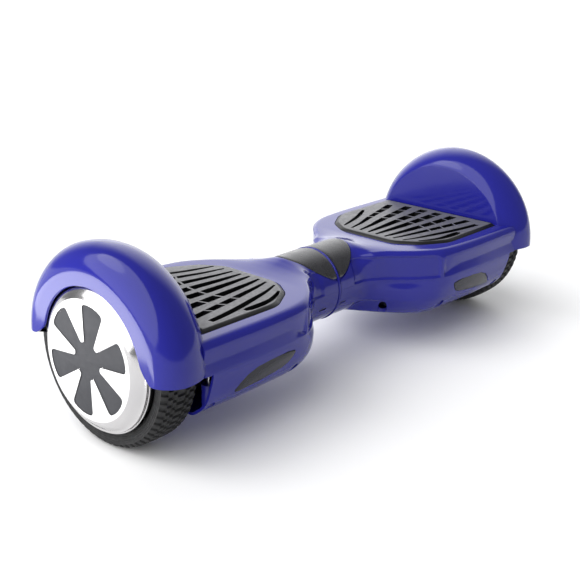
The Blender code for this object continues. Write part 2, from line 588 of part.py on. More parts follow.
boolean(upper, taper_cylinder("button_hole", 1, 8.2, -20.0, 10.0, cutter=True))
button_at = on_taper(1, 0)[0]
power_button = lathe("power_button", [(0, 0.4), (6.8, 0.4), (7.8, -0.2), (7.8, -5.2), (9.6, -5.2), (9.6, -8.0), (0, -8.0)], BLACK, steps=20,
                     closed=False, at=button_at, turn=taper_turn(1))
boolean(LEFT["upper_cover_right"], taper_cylinder("port_hole", -1, 9.5, -20.0, 10.0, cutter=True))
port_at = on_taper(-1, 0)[0]
charging_port = lathe("charging_port", [(0, -13.0), (5.6, -13.0), (5.6, -1.6), (9.1, -1.6), (9.1, -16.0), (0, -16.0)], BLACK, steps=20,
                      closed=False, at=port_at, turn=taper_turn(-1))
cap = taper_cylinder("charging_cap", -1, 9.1, -1.3, 0.9, BLACK)

# ------------------------------------------------------------- joint axes
hang([tyre, wheel_rim, hub_cap, hub_star, magnet_ring, side_cover], axis_empty("right_wheel_axis", WHEEL_AT))
hang([LEFT[n] for n in ("tyre_right", "wheel_rim_right", "hub_cap_right", "hub_star_right", "magnet_ring_right",
                        "motor_side_cover_right")], axis_empty("left_wheel_axis", (-WHEEL_X, 0, AXLE_Z)))
hang([cap], axis_empty("charging_cap_axis", on_taper(-1, 0.9)[0] - Vector((0, 0, 9.4))))
hang([upper, lower, chassis, trim], axis_empty("centre_joint_axis", (0, 0, PIVOT_Z)))
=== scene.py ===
"""Visual model of the two-wheel self-balancing board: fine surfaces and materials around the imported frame.

All shapes are worked out in millimetres, with X along the axles, -Y the front and Z up, and scaled to metres
when a mesh is made.  Pieces of the right half are made first and mirrored in X for the left half.
"""

import json
import math

import bmesh
import bpy
import numpy as np
from mathutils import Matrix, Vector


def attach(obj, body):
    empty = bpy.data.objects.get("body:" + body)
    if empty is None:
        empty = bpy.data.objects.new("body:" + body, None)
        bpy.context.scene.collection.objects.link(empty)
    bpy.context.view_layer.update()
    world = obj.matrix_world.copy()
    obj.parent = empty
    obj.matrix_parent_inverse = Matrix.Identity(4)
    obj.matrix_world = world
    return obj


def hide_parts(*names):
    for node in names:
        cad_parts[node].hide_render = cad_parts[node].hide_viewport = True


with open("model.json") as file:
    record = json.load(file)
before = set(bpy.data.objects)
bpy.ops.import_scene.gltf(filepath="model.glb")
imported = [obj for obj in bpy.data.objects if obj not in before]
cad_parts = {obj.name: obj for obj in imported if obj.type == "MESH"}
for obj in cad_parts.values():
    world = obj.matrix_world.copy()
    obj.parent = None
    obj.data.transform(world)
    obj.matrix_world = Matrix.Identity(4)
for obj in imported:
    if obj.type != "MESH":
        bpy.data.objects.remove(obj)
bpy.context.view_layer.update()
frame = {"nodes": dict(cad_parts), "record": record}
NODES = frame["nodes"]
MM = 0.001

# ------------------------------------------------------------------ dimensions, as in the design (mm)
TYRE_R = 83.0
AXLE_Z = 83.0
WHEEL_X = 255.0
HUB_FACE_X = 287.0
CROWN_R, CROWN_X = 98.0, 261.5
LIP_X, LIP_OUT_R, LIP_IN_R = 283.9, 78.3, 63.6
WALL_X, WALL_R = 228.0, 81.4
PIVOT_Z, WAIST_R = 80.3, 37.3
SEAM_Z, RIM_Z = 81.0, 110.4
SKIN = 2.6
MAT_TOP_Z, MAT_EDGE_Z, MAT_Z = 113.0, 110.3, 107.4
POCKET_Z = 62.0
SCREWS = ((64.3, 43.2), (117.0, 78.5), (222.0, 78.5))
STAR_TURN = 11.3


# ------------------------------------------------------------------ small tools
def pchip(points):
    """Smooth monotone curve through (x, value) pairs, as a function of x."""
    x = np.array([p[0] for p in points], float)
    y = np.array([p[1] for p in points], float)
    h = np.diff(x)
    d = np.diff(y) / h
    m = np.zeros(len(x))
    for i in range(1, len(x) - 1):
        if d[i - 1] * d[i] > 0:
            w1, w2 = 2 * h[i] + h[i - 1], h[i] + 2 * h[i - 1]
            m[i] = (w1 + w2) / (w1 / d[i - 1] + w2 / d[i])
    m[0], m[-1] = d[0], d[-1]

    def value(t):
        t = min(max(t, x[0]), x[-1])
        i = int(min(np.searchsorted(x, t, side="right") - 1, len(h) - 1))
        s = (t - x[i]) / h[i]
        return ((1 + 2 * s) * (1 - s) ** 2 * y[i] + s * (1 - s) ** 2 * h[i] * m[i]
                + s * s * (3 - 2 * s) * y[i + 1] + s * s * (s - 1) * h[i] * m[i + 1])
    return value


def step(a, b, t):
    """Smooth step from 0 at a to 1 at b."""
    s = min(max((t - a) / (b - a), 0.0), 1.0)
    return s * s * (3 - 2 * s)


def mesh_object(name, verts, faces, mat=None, sharp=32.0):
    mesh = bpy.data.meshes.new(name)
    mesh.from_pydata([(x * MM, y * MM, z * MM) for x, y, z in verts], [], [list(f) for f in faces])
    mesh.validate()
    if mat:
        mesh.materials.append(mat)
    obj = bpy.data.objects.new(name, mesh)
    bpy.context.scene.collection.objects.link(obj)
    tidy(obj, sharp)
    return obj


def tidy(obj, sharp=32.0, recalc=True):
    bm = bmesh.new()
    bm.from_mesh(obj.data)
    bmesh.ops.remove_doubles(bm, verts=bm.verts, dist=2e-6)
    bmesh.ops.dissolve_degenerate(bm, edges=bm.edges, dist=1e-6)
    if recalc:
        bmesh.ops.recalc_face_normals(bm, faces=bm.faces)
    bm.to_mesh(obj.data)
    bm.free()
    obj.data.shade_smooth()
    obj.data.set_sharp_from_angle(angle=math.radians(sharp))


def apply_modifiers(obj, sharp=32.0):
    bpy.context.view_layer.update()
    graph = bpy.context.evaluated_depsgraph_get()
    mesh = bpy.data.meshes.new_from_object(obj.evaluated_get(graph))
    old = obj.data
    obj.modifiers.clear()
    obj.data = mesh
    bpy.data.meshes.remove(old)
    obj.data.shade_smooth()
    obj.data.set_sharp_from_angle(angle=math.radians(sharp))
    return obj


def boolean(obj, other, operation="DIFFERENCE", keep=False, sharp=32.0):
    mod = obj.modifiers.new("cut", "BOOLEAN")
    mod.operation = operation
    mod.solver = "EXACT"
    mod.object = other
    apply_modifiers(obj, sharp)
    if not keep:
        bpy.data.objects.remove(other, do_unlink=True)
    return obj


def bevel(obj, width, segments=2, angle=30.0, sharp=32.0):
    mod = obj.modifiers.new("edge", "BEVEL")
    mod.width = width * MM
    mod.segments = segments
    mod.limit_method = "ANGLE"
    mod.angle_limit = math.radians(angle)
    mod.use_clamp_overlap = True
    return apply_modifiers(obj, sharp)


def solidify(obj, thickness, sharp=32.0):
    mod = obj.modifiers.new("wall", "SOLIDIFY")
    mod.thickness = thickness * MM
    mod.offset = -1.0
    mod.use_even_offset = True
    return apply_modifiers(obj, sharp)


def mirrored(obj, name):
    mesh = obj.data.copy()
    mesh.transform(Matrix.Scale(-1, 4, (1, 0, 0)))
    mesh.flip_normals()
    mesh.name = name
    copy = bpy.data.objects.new(name, mesh)
    bpy.context.scene.collection.objects.link(copy)
    return copy


def grid_faces(rows, columns, close_u=False, close_v=False):
    faces = []
    for i in range(rows - (0 if close_u else 1)):
        for j in range(columns - (0 if close_v else 1)):
            a, b = i * columns + j, i * columns + (j + 1) % columns
            c, d = ((i + 1) % rows) * columns + (j + 1) % columns, ((i + 1) % rows) * columns + j
            faces.append((a, b, c, d))
    return faces


def lathe(name, profile, centre, mat=None, steps=96, sharp=32.0, closed=True):
    """Turns (radius, x offset) about the X axis through centre.  Points at radius 0 close on the axis."""
    verts, index = [], []
    for r, h in profile:
        if r < 1e-6:
            verts.append((centre[0] + h, centre[1], centre[2]))
            index.append([len(verts) - 1] * steps)
        else:
            ring = []
            for k in range(steps):
                a = 2 * math.pi * k / steps
                verts.append((centre[0] + h, centre[1] + r * math.sin(a), centre[2] + r * math.cos(a)))
                ring.append(len(verts) - 1)
            index.append(ring)
    faces = []
    n = len(profile)
    for i in range(n if closed else n - 1):
        a, b = index[i], index[(i + 1) % n]
        for k in range(steps):
            m = (k + 1) % steps
            face = [a[k], a[m], b[m], b[k]]
            face = [v for q, v in enumerate(face) if v not in face[:q]]
            if len(face) > 2:
                faces.append(face)
    return mesh_object(name, verts, faces, mat, sharp)


def rounded(points, radii, segments=5):
    """Polygon with its corners rounded; radii is one number or a list."""
    out = []
    n = len(points)
    if not isinstance(radii, (list, tuple)):
        radii = [radii] * n
    for i in range(n):
        p, a, b = Vector(points[i]), Vector(points[i - 1]), Vector(points[(i + 1) % n])
        u, v = (a - p), (b - p)
        lu, lv = u.length, v.length
        u, v = u / lu, v / lv
        angle = math.acos(max(-1, min(1, u.dot(v))))
        r = radii[i]
        if r <= 0 or angle > math.pi - 0.05:
            out.append(tuple(p))
            continue
        t = min(r / math.tan(angle / 2), 0.48 * lu, 0.48 * lv)
        r = t * math.tan(angle / 2)
        centre = p + (u + v).normalized() * (r / math.sin(angle / 2))
        start, end = p + u * t - centre, p + v * t - centre
        turn = start.angle_signed(end)
        for k in range(segments + 1):
            w = start.copy()
            w.rotate(Matrix.Rotation(-turn * k / segments, 2))
            out.append(tuple(centre + w))
    return out


def prism(name, points, low, high, mat=None, sharp=32.0, place=None):
    """Outline (x, y) filled and extruded in Z from low to high; place maps (x, y, z) elsewhere."""
    n = len(points)
    verts = [(x, y, low) for x, y in points] + [(x, y, high) for x, y in points]
    faces = [tuple(range(n - 1, -1, -1)), tuple(range(n, 2 * n))]
    faces += [(k, (k + 1) % n, n + (k + 1) % n, n + k) for k in range(n)]
    if place:
        verts = [place(*v) for v in verts]
    obj = mesh_object(name, verts, faces, mat, sharp)
    return obj


def offset_outline(points, amount):
    """Moves each point of a closed anticlockwise outline outwards by amount."""
    out = []
    n = len(points)
    for i in range(n):
        a, p, b = Vector(points[i - 1]), Vector(points[i]), Vector(points[(i + 1) % n])
        e1, e2 = (p - a), (b - p)
        e1 = e1.normalized() if e1.length > 1e-9 else e2.normalized()
        e2 = e2.normalized() if e2.length > 1e-9 else e1
        n1, n2 = Vector((e1.y, -e1.x)), Vector((e2.y, -e2.x))
        m = (n1 + n2)
        m = m.normalized() if m.length > 1e-9 else n1
        k = max(0.35, m.dot(n1))
        out.append(tuple(p + m * amount / k))
    return out


def cylinder(name, centre, axis, radius, length, sides=40, mat=None, radius2=None):
    bm = bmesh.new()
    turn = Vector((0, 0, 1)).rotation_difference(Vector(axis)).to_matrix().to_4x4()
    bmesh.ops.create_cone(bm, cap_ends=True, segments=sides, radius1=radius * MM,
                          radius2=(radius if radius2 is None else radius2) * MM, depth=length * MM,
                          matrix=Matrix.Translation(Vector(centre) * MM) @ turn)
    mesh = bpy.data.meshes.new(name)
    bm.to_mesh(mesh)
    bm.free()
    if mat:
        mesh.materials.append(mat)
    obj = bpy.data.objects.new(name, mesh)
    bpy.context.scene.collection.objects.link(obj)
    obj.data.shade_smooth()
    obj.data.set_sharp_from_angle(angle=math.radians(32))
    return obj


# ------------------------------------------------------------------ materials
def socket(shader, name, value):
    if name in shader.inputs:
        shader.inputs[name].default_value = value


def material(name, rgb, rough=0.4, metal=0.0, spread=0.08, rough_spread=0.06, scale=60.0, bump=0.0, bump_scale=900.0,
             bump_distance=0.0002, coat=0.0, coat_rough=0.03, specular=None, detail=4.0, stretch=None):
    """Principled material whose colour, roughness and surface all vary with procedural noise."""
    mat = bpy.data.materials.new(name)
    mat.use_nodes = True
    tree = mat.node_tree
    shader = tree.nodes["Principled BSDF"]
    where = tree.nodes.new("ShaderNodeTexCoord")
    mapping = tree.nodes.new("ShaderNodeMapping")
    if stretch:
        mapping.inputs["Scale"].default_value = stretch
    tree.links.new(where.outputs["Object"], mapping.inputs["Vector"])
    noise = tree.nodes.new("ShaderNodeTexNoise")
    noise.inputs["Scale"].default_value = scale
    noise.inputs["Detail"].default_value = detail
    tree.links.new(mapping.outputs["Vector"], noise.inputs["Vector"])
    ramp = tree.nodes.new("ShaderNodeValToRGB")
    ramp.color_ramp.elements[0].position = 0.3
    ramp.color_ramp.elements[1].position = 0.7
    ramp.color_ramp.elements[0].color = (*[c * (1 - spread) for c in rgb], 1)
    ramp.color_ramp.elements[1].color = (*[min(1.0, c * (1 + spread)) for c in rgb], 1)
    tree.links.new(noise.outputs["Fac"], ramp.inputs["Fac"])
    tree.links.new(ramp.outputs["Color"], shader.inputs["Base Color"])
    span = tree.nodes.new("ShaderNodeMapRange")
    span.inputs["From Min"].default_value = 0.3
    span.inputs["From Max"].default_value = 0.7
    span.inputs["To Min"].default_value = max(0.0, rough - rough_spread)
    span.inputs["To Max"].default_value = min(1.0, rough + rough_spread)
    fine = tree.nodes.new("ShaderNodeTexNoise")
    fine.inputs["Scale"].default_value = scale * 2.3
    fine.inputs["Detail"].default_value = 2.0
    tree.links.new(mapping.outputs["Vector"], fine.inputs["Vector"])
    tree.links.new(fine.outputs["Fac"], span.inputs["Value"])
    tree.links.new(span.outputs["Result"], shader.inputs["Roughness"])
    shader.inputs["Metallic"].default_value = metal
    socket(shader, "Coat Weight", coat)
    socket(shader, "Coat Roughness", coat_rough)
    if specular is not None:
        socket(shader, "Specular IOR Level", specular)
    if bump:
        grain = tree.nodes.new("ShaderNodeTexNoise")
        grain.inputs["Scale"].default_value = bump_scale
        grain.inputs["Detail"].default_value = 3.0
        tree.links.new(mapping.outputs["Vector"], grain.inputs["Vector"])
        node = tree.nodes.new("ShaderNodeBump")
        node.inputs["Strength"].default_value = bump
        node.inputs["Distance"].default_value = bump_distance
        tree.links.new(grain.outputs["Fac"], node.inputs["Height"])
        tree.links.new(node.outputs["Normal"], shader.inputs["Normal"])
    mat["shader"] = shader.name
    return mat


BLUE = material("gloss_blue_plastic", (0.015, 0.016, 0.228), rough=0.11, rough_spread=0.02, spread=0.05, scale=9.0,
                coat=0.0, specular=0.36, bump=0.035, bump_scale=260.0, bump_distance=0.00004)
GREY = material("dark_grey_plastic", (0.021, 0.021, 0.025), rough=0.27, spread=0.12, scale=40.0, bump=0.2, bump_scale=1800.0,
                bump_distance=0.00006, specular=0.7)
RUBBER = material("tyre_rubber", (0.011, 0.011, 0.012), rough=0.62, spread=0.25, rough_spread=0.1, scale=120.0, bump=0.5,
                  bump_scale=2600.0, bump_distance=0.00012, specular=0.4)
POLISHED = material("polished_aluminium", (0.62, 0.61, 0.615), rough=0.16, rough_spread=0.05, metal=1.0, spread=0.03,
                    scale=30.0, bump=0.03, bump_scale=400.0, bump_distance=0.00004)
SATIN = material("hub_face_silver", (0.78, 0.775, 0.78), rough=0.36, rough_spread=0.04, metal=0.12, spread=0.02, scale=50.0,
                 bump=0.06, bump_scale=1500.0, bump_distance=0.00004)
STAR = material("star_grey_paint", (0.046, 0.047, 0.053), rough=0.6, metal=0.0, specular=0.25, spread=0.05, scale=70.0, bump=0.2,
                bump_scale=2200.0, bump_distance=0.00006)
CAST = material("cast_aluminium", (0.5, 0.51, 0.53), rough=0.5, metal=1.0, spread=0.1, scale=45.0, bump=0.5, bump_scale=700.0)
STEEL = material("steel", (0.46, 0.46, 0.48), rough=0.3, metal=1.0, spread=0.08, scale=60.0, bump=0.15, bump_scale=900.0)
BOARD = material("circuit_board", (0.02, 0.13, 0.05), rough=0.42, spread=0.3, scale=150.0, bump=0.2, bump_scale=500.0)
MAGNET = material("magnet_steel", (0.32, 0.32, 0.34), rough=0.35, metal=0.9, spread=0.12, scale=50.0, bump=0.1)
WINDING = material("copper_winding", (0.45, 0.18, 0.07), rough=0.4, metal=0.6, spread=0.3, scale=90.0, bump=0.5, bump_scale=400.0)
BRONZE = material("bronze", (0.5, 0.33, 0.12), rough=0.4, metal=0.9, spread=0.12, scale=80.0, bump=0.1)
BATTERY = material("battery_wrap", (0.02, 0.09, 0.32), rough=0.35, spread=0.1, scale=30.0, bump=0.3, bump_scale=120.0)
BLACK = material("black_plastic", (0.012, 0.012, 0.013), rough=0.42, spread=0.2, scale=60.0, bump=0.3, bump_scale=1500.0)
LENS = material("smoked_lens", (0.022, 0.022, 0.032), rough=0.22, rough_spread=0.04, spread=0.25, scale=18.0, specular=0.3,
                bump=0.1, bump_scale=700.0, bump_distance=0.00005)


def mat_material():
    """Grey moulded rubber, with shade painted on: near black down in its slots and on its sloping edge."""
    mat = material("grey_mat_rubber", (0.125, 0.125, 0.135), rough=0.42, rough_spread=0.08, spread=0.16, scale=160.0, bump=0.5,
                   bump_scale=2400.0, bump_distance=0.00012, specular=0.35)
    tree = mat.node_tree
    shader = tree.nodes["Principled BSDF"]
    where = next(n for n in tree.nodes if n.type == "TEX_COORD")
    split = tree.nodes.new("ShaderNodeSeparateXYZ")
    tree.links.new(where.outputs["Object"], split.inputs["Vector"])
    # painted shade: the colour goes near black below the rib tops, down in the slots
    height = tree.nodes.new("ShaderNodeMapRange")
    height.inputs["From Min"].default_value = 0.1123
    height.inputs["From Max"].default_value = 0.11285
    tree.links.new(split.outputs["Z"], height.inputs["Value"])
    # painted shade: faces that tilt away from up, the mat's sloping edge, go near black as well
    facing = tree.nodes.new("ShaderNodeSeparateXYZ")
    tree.links.new(where.outputs["Normal"], facing.inputs["Vector"])
    level = tree.nodes.new("ShaderNodeMapRange")
    level.interpolation_type = "SMOOTHSTEP"
    level.inputs["From Min"].default_value = 0.86
    level.inputs["From Max"].default_value = 0.985
    tree.links.new(facing.outputs["Z"], level.inputs["Value"])
    painted_shade_mask = tree.nodes.new("ShaderNodeMath")
    painted_shade_mask.operation = "MULTIPLY"
    tree.links.new(height.outputs["Result"], painted_shade_mask.inputs[0])
    tree.links.new(level.outputs["Result"], painted_shade_mask.inputs[1])
    mix = tree.nodes.new("ShaderNodeMix")
    mix.data_type = "RGBA"
    link = shader.inputs["Base Color"].links[0]
    source = link.from_socket
    tree.links.remove(link)
    # near-black colour of the painted shade in the slots and on the sloping edge
    mix.inputs[6].default_value = (0.004, 0.004, 0.005, 1)
    tree.links.new(painted_shade_mask.outputs["Value"], mix.inputs[0])
    tree.links.new(source, mix.inputs[7])
    tree.links.new(mix.outputs[2], shader.inputs["Base Color"])
    return mat


MAT = mat_material()

SLOT_MATERIALS = {
    "gloss_blue_plastic": BLUE, "smoked_lens": LENS, "dark_grey_plastic": GREY, "grey_mat_rubber": MAT,
    "cast_aluminium": CAST, "circuit_board": BOARD, "tyre_rubber": RUBBER, "polished_aluminium": POLISHED,
    "star_grey_paint": STAR, "magnet_steel": MAGNET, "steel": STEEL, "copper_winding": WINDING, "bronze": BRONZE,
    "battery_wrap": BATTERY, "black_plastic": BLACK,
}
for sub in frame["record"]["subparts"]:
    node = NODES[sub["node"]]
    node.data.materials.clear()
    node.data.materials.append(SLOT_MATERIALS[sub["material_slot"]])
    node.data.shade_smooth()
    node.data.set_sharp_from_angle(angle=math.radians(32))

# ------------------------------------------------------------------ body surface
WIDTH = pchip(((0, 37.3), (34, 37.4), (38, 38.6), (42, 40.0), (46, 41.8), (50, 43.8), (56, 47.4), (61, 51.2), (72, 62.4),
               (85, 74.6), (100, 84.6), (110, 88.6), (120, 90.8), (134, 92.5), (177, 94.0), (231, 93.5), (241, 93.5)))
CROWN = pchip(((0, 117.6), (44, 117.2), (52, 115.6), (60, 113.4), (72, 111.4), (85, RIM_Z), (241, RIM_Z)))
KEEL = pchip(((0, 43.0), (45, 43.0), (55, 41.6), (66, 39.4), (78, 37.8), (90, 36.6), (117, 35.4), (140, 35.0), (241, 35.0)))
JOWL = pchip(((0, 0.0), (44, 0.0), (60, 5.0), (72, 7.0), (85, 5.2), (100, 4.0), (117, 2.0), (140, 0.0), (241, 0.0)))
BLEND = pchip(((0, 0.0), (32, 0.0), (38, 0.25), (42, 0.55), (46, 0.8), (51, 1.0), (241, 1.0)))
UPPER_END, LOWER_START = SEAM_Z + 0.03, SEAM_Z - 0.05
CORNER = 9.0
TOP_N, ARC_N, WALL_N = 12, 12, 26


def round_point(degrees):
    a = math.radians(degrees)
    return WAIST_R * math.sin(a), PIVOT_Z + WAIST_R * math.cos(a)


def upper_section(x):
    w, top, blend = WIDTH(x), CROWN(x), BLEND(x)
    flat = w - CORNER
    body, angles = [], []
    for i in range(TOP_N):
        t = i / TOP_N
        body.append((flat * t, RIM_Z + (top - RIM_Z) * (1 - t ** 1.5)))
        angles.append(46.0 * t)
    drop = 10.0
    for i in range(ARC_N):
        a = math.pi / 2 * i / ARC_N
        body.append((flat + CORNER * math.sin(a), RIM_Z - drop + drop * math.cos(a)))
        angles.append(46.0 + 24.0 * i / ARC_N)
    for i in range(WALL_N + 1):
        t = i / WALL_N
        body.append((w, (RIM_Z - drop) * (1 - t) + UPPER_END * t))
        angles.append(70.0 + (88.88 - 70.0) * t)
    out = []
    for (y, z), degrees in zip(body, angles):
        cy, cz = round_point(degrees)
        out.append((cy + (y - cy) * blend, cz + (z - cz) * blend))
    return out


def lower_section(x):
    w, keel, blend, jowl = WIDTH(x), KEEL(x), BLEND(x), JOWL(x)
    base = w - 31.0 if w > 62 else w * 0.5
    body = [(w, LOWER_START), (w - 0.3, 77.6), (w - 2.6 + 0.7 * jowl, 69.0), (w - 5.6 + jowl, 59.0),
            (w - 10.0 + jowl, keel + 15.0), (w - 18.5 + jowl, keel + 6.0), (base + 0.6 * jowl, keel), (0, keel)]
    angles = (89.0, 97, 109, 121, 134, 148, 163, 180)
    mixed = []
    for (y, z), degrees in zip(body, angles):
        cy, cz = round_point(degrees)
        mixed.append((cy + (y - cy) * blend, cz + (z - cz) * blend))
    ys = pchip([(i, p[0]) for i, p in enumerate(mixed)])
    zs = pchip([(i, p[1]) for i, p in enumerate(mixed)])
    out = []
    for i in range(7):
        n = 7 if i < 6 else 10
        out += [(ys(i + k / n), zs(i + k / n)) for k in range(n)]
    out.append((ys(7), zs(7)))
    return out


def panel_depth(x, z):
    """Recessed panel on each taper, from the fold at the seam to just under the rim."""
    if not 12 < x < 114:
        return 0.0
    left, right, top, r = 24.0, 105.0, 106.0, 7.0
    dx = max(left + r - x, x - (right - r), 0.0)
    dz = max(z - (top - r), 0.0)
    inside = r - math.hypot(dx, dz)
    floor_fade = step(81.2, 83.2, z)
    return 1.9 * step(-0.4, 2.4, inside) * floor_fade


def groove_depth(x, z):
    """Shallow channel under the rim of the straight wall: it faces down above its fold and up below it."""
    if x < 104:
        return 0.0
    fold = 82.0 + 9.2 * step(104, 134, x)
    top = 105.6
    r = 5.0
    dx = max(110.0 + r - x, 0.0)
    window = step(0.0, 5.0, x - 107.2 - 0.03 * (z - 94) ** 2 * step(112, 104, x))
    if z >= fold:
        s = min(max((top - z) / max(top - fold, 1.0), 0.0), 1.0)
        d = s * (0.75 + 0.25 * s)
    else:
        s = min(max((z - 81.4) / max(fold - 81.4, 0.5), 0.0), 1.0)
        d = s
    return 2.7 * d * window


def stations(end):
    xs = [2.2, 8, 14]
    x = 19.0
    while x < 31:
        xs.append(x); x += 1.5
    while x < 62:
        xs.append(x); x += 1.3
    while x < 100:
        xs.append(x); x += 1.7
    while x < 124:
        xs.append(x); x += 1.2
    while x < end - 4:
        xs.append(x); x += 4.5
    xs.append(end)
    return xs


def body_surface(name, xs, section, relief):
    rows = []
    for x in xs:
        half = section(x)
        if half[0][0] < half[-1][0]:
            half = half[::-1]                 # now from the seam to the middle
        ring = [(-y, z) for y, z in half] + half[::-1][1:]
        rows.append([(x, y, z) for y, z in ring])
    P = np.array(rows)
    if relief:
        du = np.gradient(P, axis=0)
        dv = np.gradient(P, axis=1)
        N = np.cross(du, dv)
        N /= np.linalg.norm(N, axis=2, keepdims=True) + 1e-12
        centre = np.array((0.0, 0.0, 80.0))
        sign = np.sign(((P - centre) * (0, 1, 1) * N).sum(axis=2, keepdims=True))
        N *= np.where(sign == 0, 1, sign)
        N[:, :, 2] = 0.0                      # the relief only moves the walls level
        N /= np.linalg.norm(N, axis=2, keepdims=True) + 1e-9
        for i in range(P.shape[0]):
            for j in range(P.shape[1]):
                x, y, z = P[i, j]
                d = relief(x, y, z)
                if d:
                    P[i, j] -= N[i, j] * d
    verts = [tuple(p) for row in P for p in row]
    return mesh_object(name, verts, grid_faces(P.shape[0], P.shape[1]), BLUE)


def wall_relief(x, y, z):
    if abs(y) < 26 or z > 107.5:
        return 0.0
    return panel_depth(x, z) + groove_depth(x, z)


# ------------------------------------------------------------------ mudguard
def arc_points(centre, r, a0, a1, n):
    return [(centre[0] + r * math.cos(math.radians(a0 + (a1 - a0) * k / n)),
             centre[1] + r * math.sin(math.radians(a0 + (a1 - a0) * k / n))) for k in range(n + 1)]


def bowed(start, end, centre_r, n, rising):
    """Part of an ellipse about radius centre_r that leaves or meets the crown squarely; (radius, offset) points."""
    (r0, h0), (r1, h1) = (start, end) if rising else (end, start)
    a = r1 - centre_r
    p0 = math.asin((r0 - centre_r) / a)
    b = (h0 - h1) / math.cos(p0)
    pts = []
    for i in range(n + 1):
        p = p0 + (math.pi / 2 - p0) * i / n
        pts.append((centre_r + a * math.sin(p), h1 + b * math.cos(p)))
    return pts if rising else pts[::-1]


def guard_outer(lip_in, lip_out=LIP_OUT_R, n=16):
    """(radius, x - WHEEL_X) over the outside, from the lip's inner edge round the crown to the wall."""
    out_h, wall_h, crown_h = LIP_X - WHEEL_X, WALL_X - WHEEL_X, CROWN_X - WHEEL_X
    pts = [(lip_in, out_h - 1.2), (lip_in + 0.25, out_h - 0.4), (lip_in + 0.8, out_h)]
    flat_end = max(lip_out - 0.45, lip_in + 1.2)
    for k in (0.33, 0.66, 1.0):
        pts.append((lip_in + 0.8 + (flat_end - lip_in - 0.8) * k, out_h))
    outside = bowed((lip_out + 0.25, out_h - 0.12), (CROWN_R, crown_h), lip_out - 8.0, n, True)
    pts += [(max(r, flat_end + 0.3), h) for r, h in outside]
    inside = bowed((CROWN_R, crown_h), (WALL_R + 0.5, wall_h + 0.15), 69.0, n, False)
    pts += inside[1:]
    pts += [(WALL_R - 0.1, wall_h), (WALL_R - 0.9, wall_h)]
    return pts


def guard_inner(lip_in, lip_out=LIP_OUT_R, n=16):
    """The same run inside the wall, from the wall back to the lip."""
    t = SKIN
    out_h, wall_h, crown_h = LIP_X - WHEEL_X - t, WALL_X - WHEEL_X + t, CROWN_X - WHEEL_X
    pts = [(WALL_R - 1.4, wall_h)]
    pts += bowed((CROWN_R - t, crown_h), (WALL_R - 0.6, wall_h + 0.3), 69.0, n, False)[::-1]
    pts += bowed((lip_out - 0.8, out_h - 0.1), (CROWN_R - t, crown_h), lip_out - 8.8, n, True)[::-1][1:]
    pts.append((min(lip_in + 0.4, lip_out - 1.0), out_h))
    pts.append((lip_in, out_h + 0.5))
    return pts


LIP_INNER = pchip(((-4.0, 77.6), (-2.2, 77.2), (-1.1, 75.6), (1.6, 71.2), (5.5, 67.2), (10, 64.6), (15, 63.7), (20, LIP_IN_R), (90, LIP_IN_R)))
LIP_OUTER = pchip(((-2, 80.0), (6, 80.9), (20, 81.2), (31, 80.8), (43, 79.2), (56, 78.0), (70, 77.5), (90, 77.4)))
GUARD_FLOOR, REAR_FLOOR = 82.0, 87.0


def mudguard():
    """Closed shell swept over the top of the wheel, whose lip narrows at its two lower ends."""
    quarter = [0.0, 1.2, 2.6, 4.2, 6, 8, 10.5, 13, 16, 19, 22.5, 26]
    angles = [90.62 - q for q in quarter] + [60.5 - 3.8 * k for k in range(16)]
    rear = [-a for a in angles[::-1] if a > 1.0]
    angles = angles + rear
    rows = []
    for a in angles:
        # a runs from the front end (positive) over the top to the rear end (negative); y = -r sin a
        floor = GUARD_FLOOR if a > 0 else REAR_FLOOR
        above = 90 - abs(a)
        lift = 0.0
        if a < 0:                                 # the rear end stands higher, so its angles are squeezed
            start = math.degrees(math.asin((REAR_FLOOR - AXLE_Z) / 90.0))
            above = -0.62 + (above + 0.62)
            low = start + (90 - start) * (above + 0.62) / 90.62
            lift = start * (1 - (above + 0.62) / 90.62)
            real = low
        else:
            real = above
        lip = LIP_INNER(real - (4.4 if a < 0 else 0.0) * max(0.0, 1 - real / 40.0))
        lip_out = LIP_OUTER(real)
        ring = guard_outer(min(lip, lip_out - 1.6), lip_out) + [(13.0, WALL_X - WHEEL_X), (13.0, WALL_X - WHEEL_X + SKIN)] + guard_inner(min(lip, lip_out - 1.6), lip_out)
        row = []
        end_row = abs(a) > 90.5
        for r, h in ring:
            t = math.radians(real)
            y, z = r * math.cos(t), AXLE_Z + r * math.sin(t)
            if end_row or z < floor and r > 60:
                z = floor
                y = math.sqrt(max(r * r - (floor - AXLE_Z) ** 2, 0.0))
            if r < 20 and z < GUARD_FLOOR:
                z = GUARD_FLOOR
            row.append((WHEEL_X + h, -y if a > 0 else y, z))
        rows.append(row)
    n = len(rows[0])
    verts = [p for row in rows for p in row]
    faces = grid_faces(len(rows), n, close_v=True)
    faces += [tuple(range(n - 1, -1, -1)), tuple(range((len(rows) - 1) * n, len(rows) * n))]
    bm = bmesh.new()
    vs = [bm.verts.new((x * MM, y * MM, z * MM)) for x, y, z in verts]
    for f in faces:
        try:
            bm.faces.new([vs[i] for i in f])
        except ValueError:
            pass
    caps = [f for f in bm.faces if len(f.verts) > 8]
    bmesh.ops.triangulate(bm, faces=caps)
    mesh = bpy.data.meshes.new("mudguard")
    bm.to_mesh(mesh)
    bm.free()
    mesh.materials.append(BLUE)
    obj = bpy.data.objects.new("mudguard", mesh)
    bpy.context.scene.collection.objects.link(obj)
    tidy(obj, 22.0)
    return obj


# ------------------------------------------------------------------ foot mat outline and slots
MAT_CORNERS = [(226.0, -75.5), (226.0, 75.5), (134.0, 75.5), (104.0, 57.5), (88.0, 34.0), (88.0, -34.0), (104.0, -57.5), (134.0, -75.5)]
MAT_OUTLINE = rounded(MAT_CORNERS, [3, 3, 32, 30, 26, 26, 30, 32], segments=8)

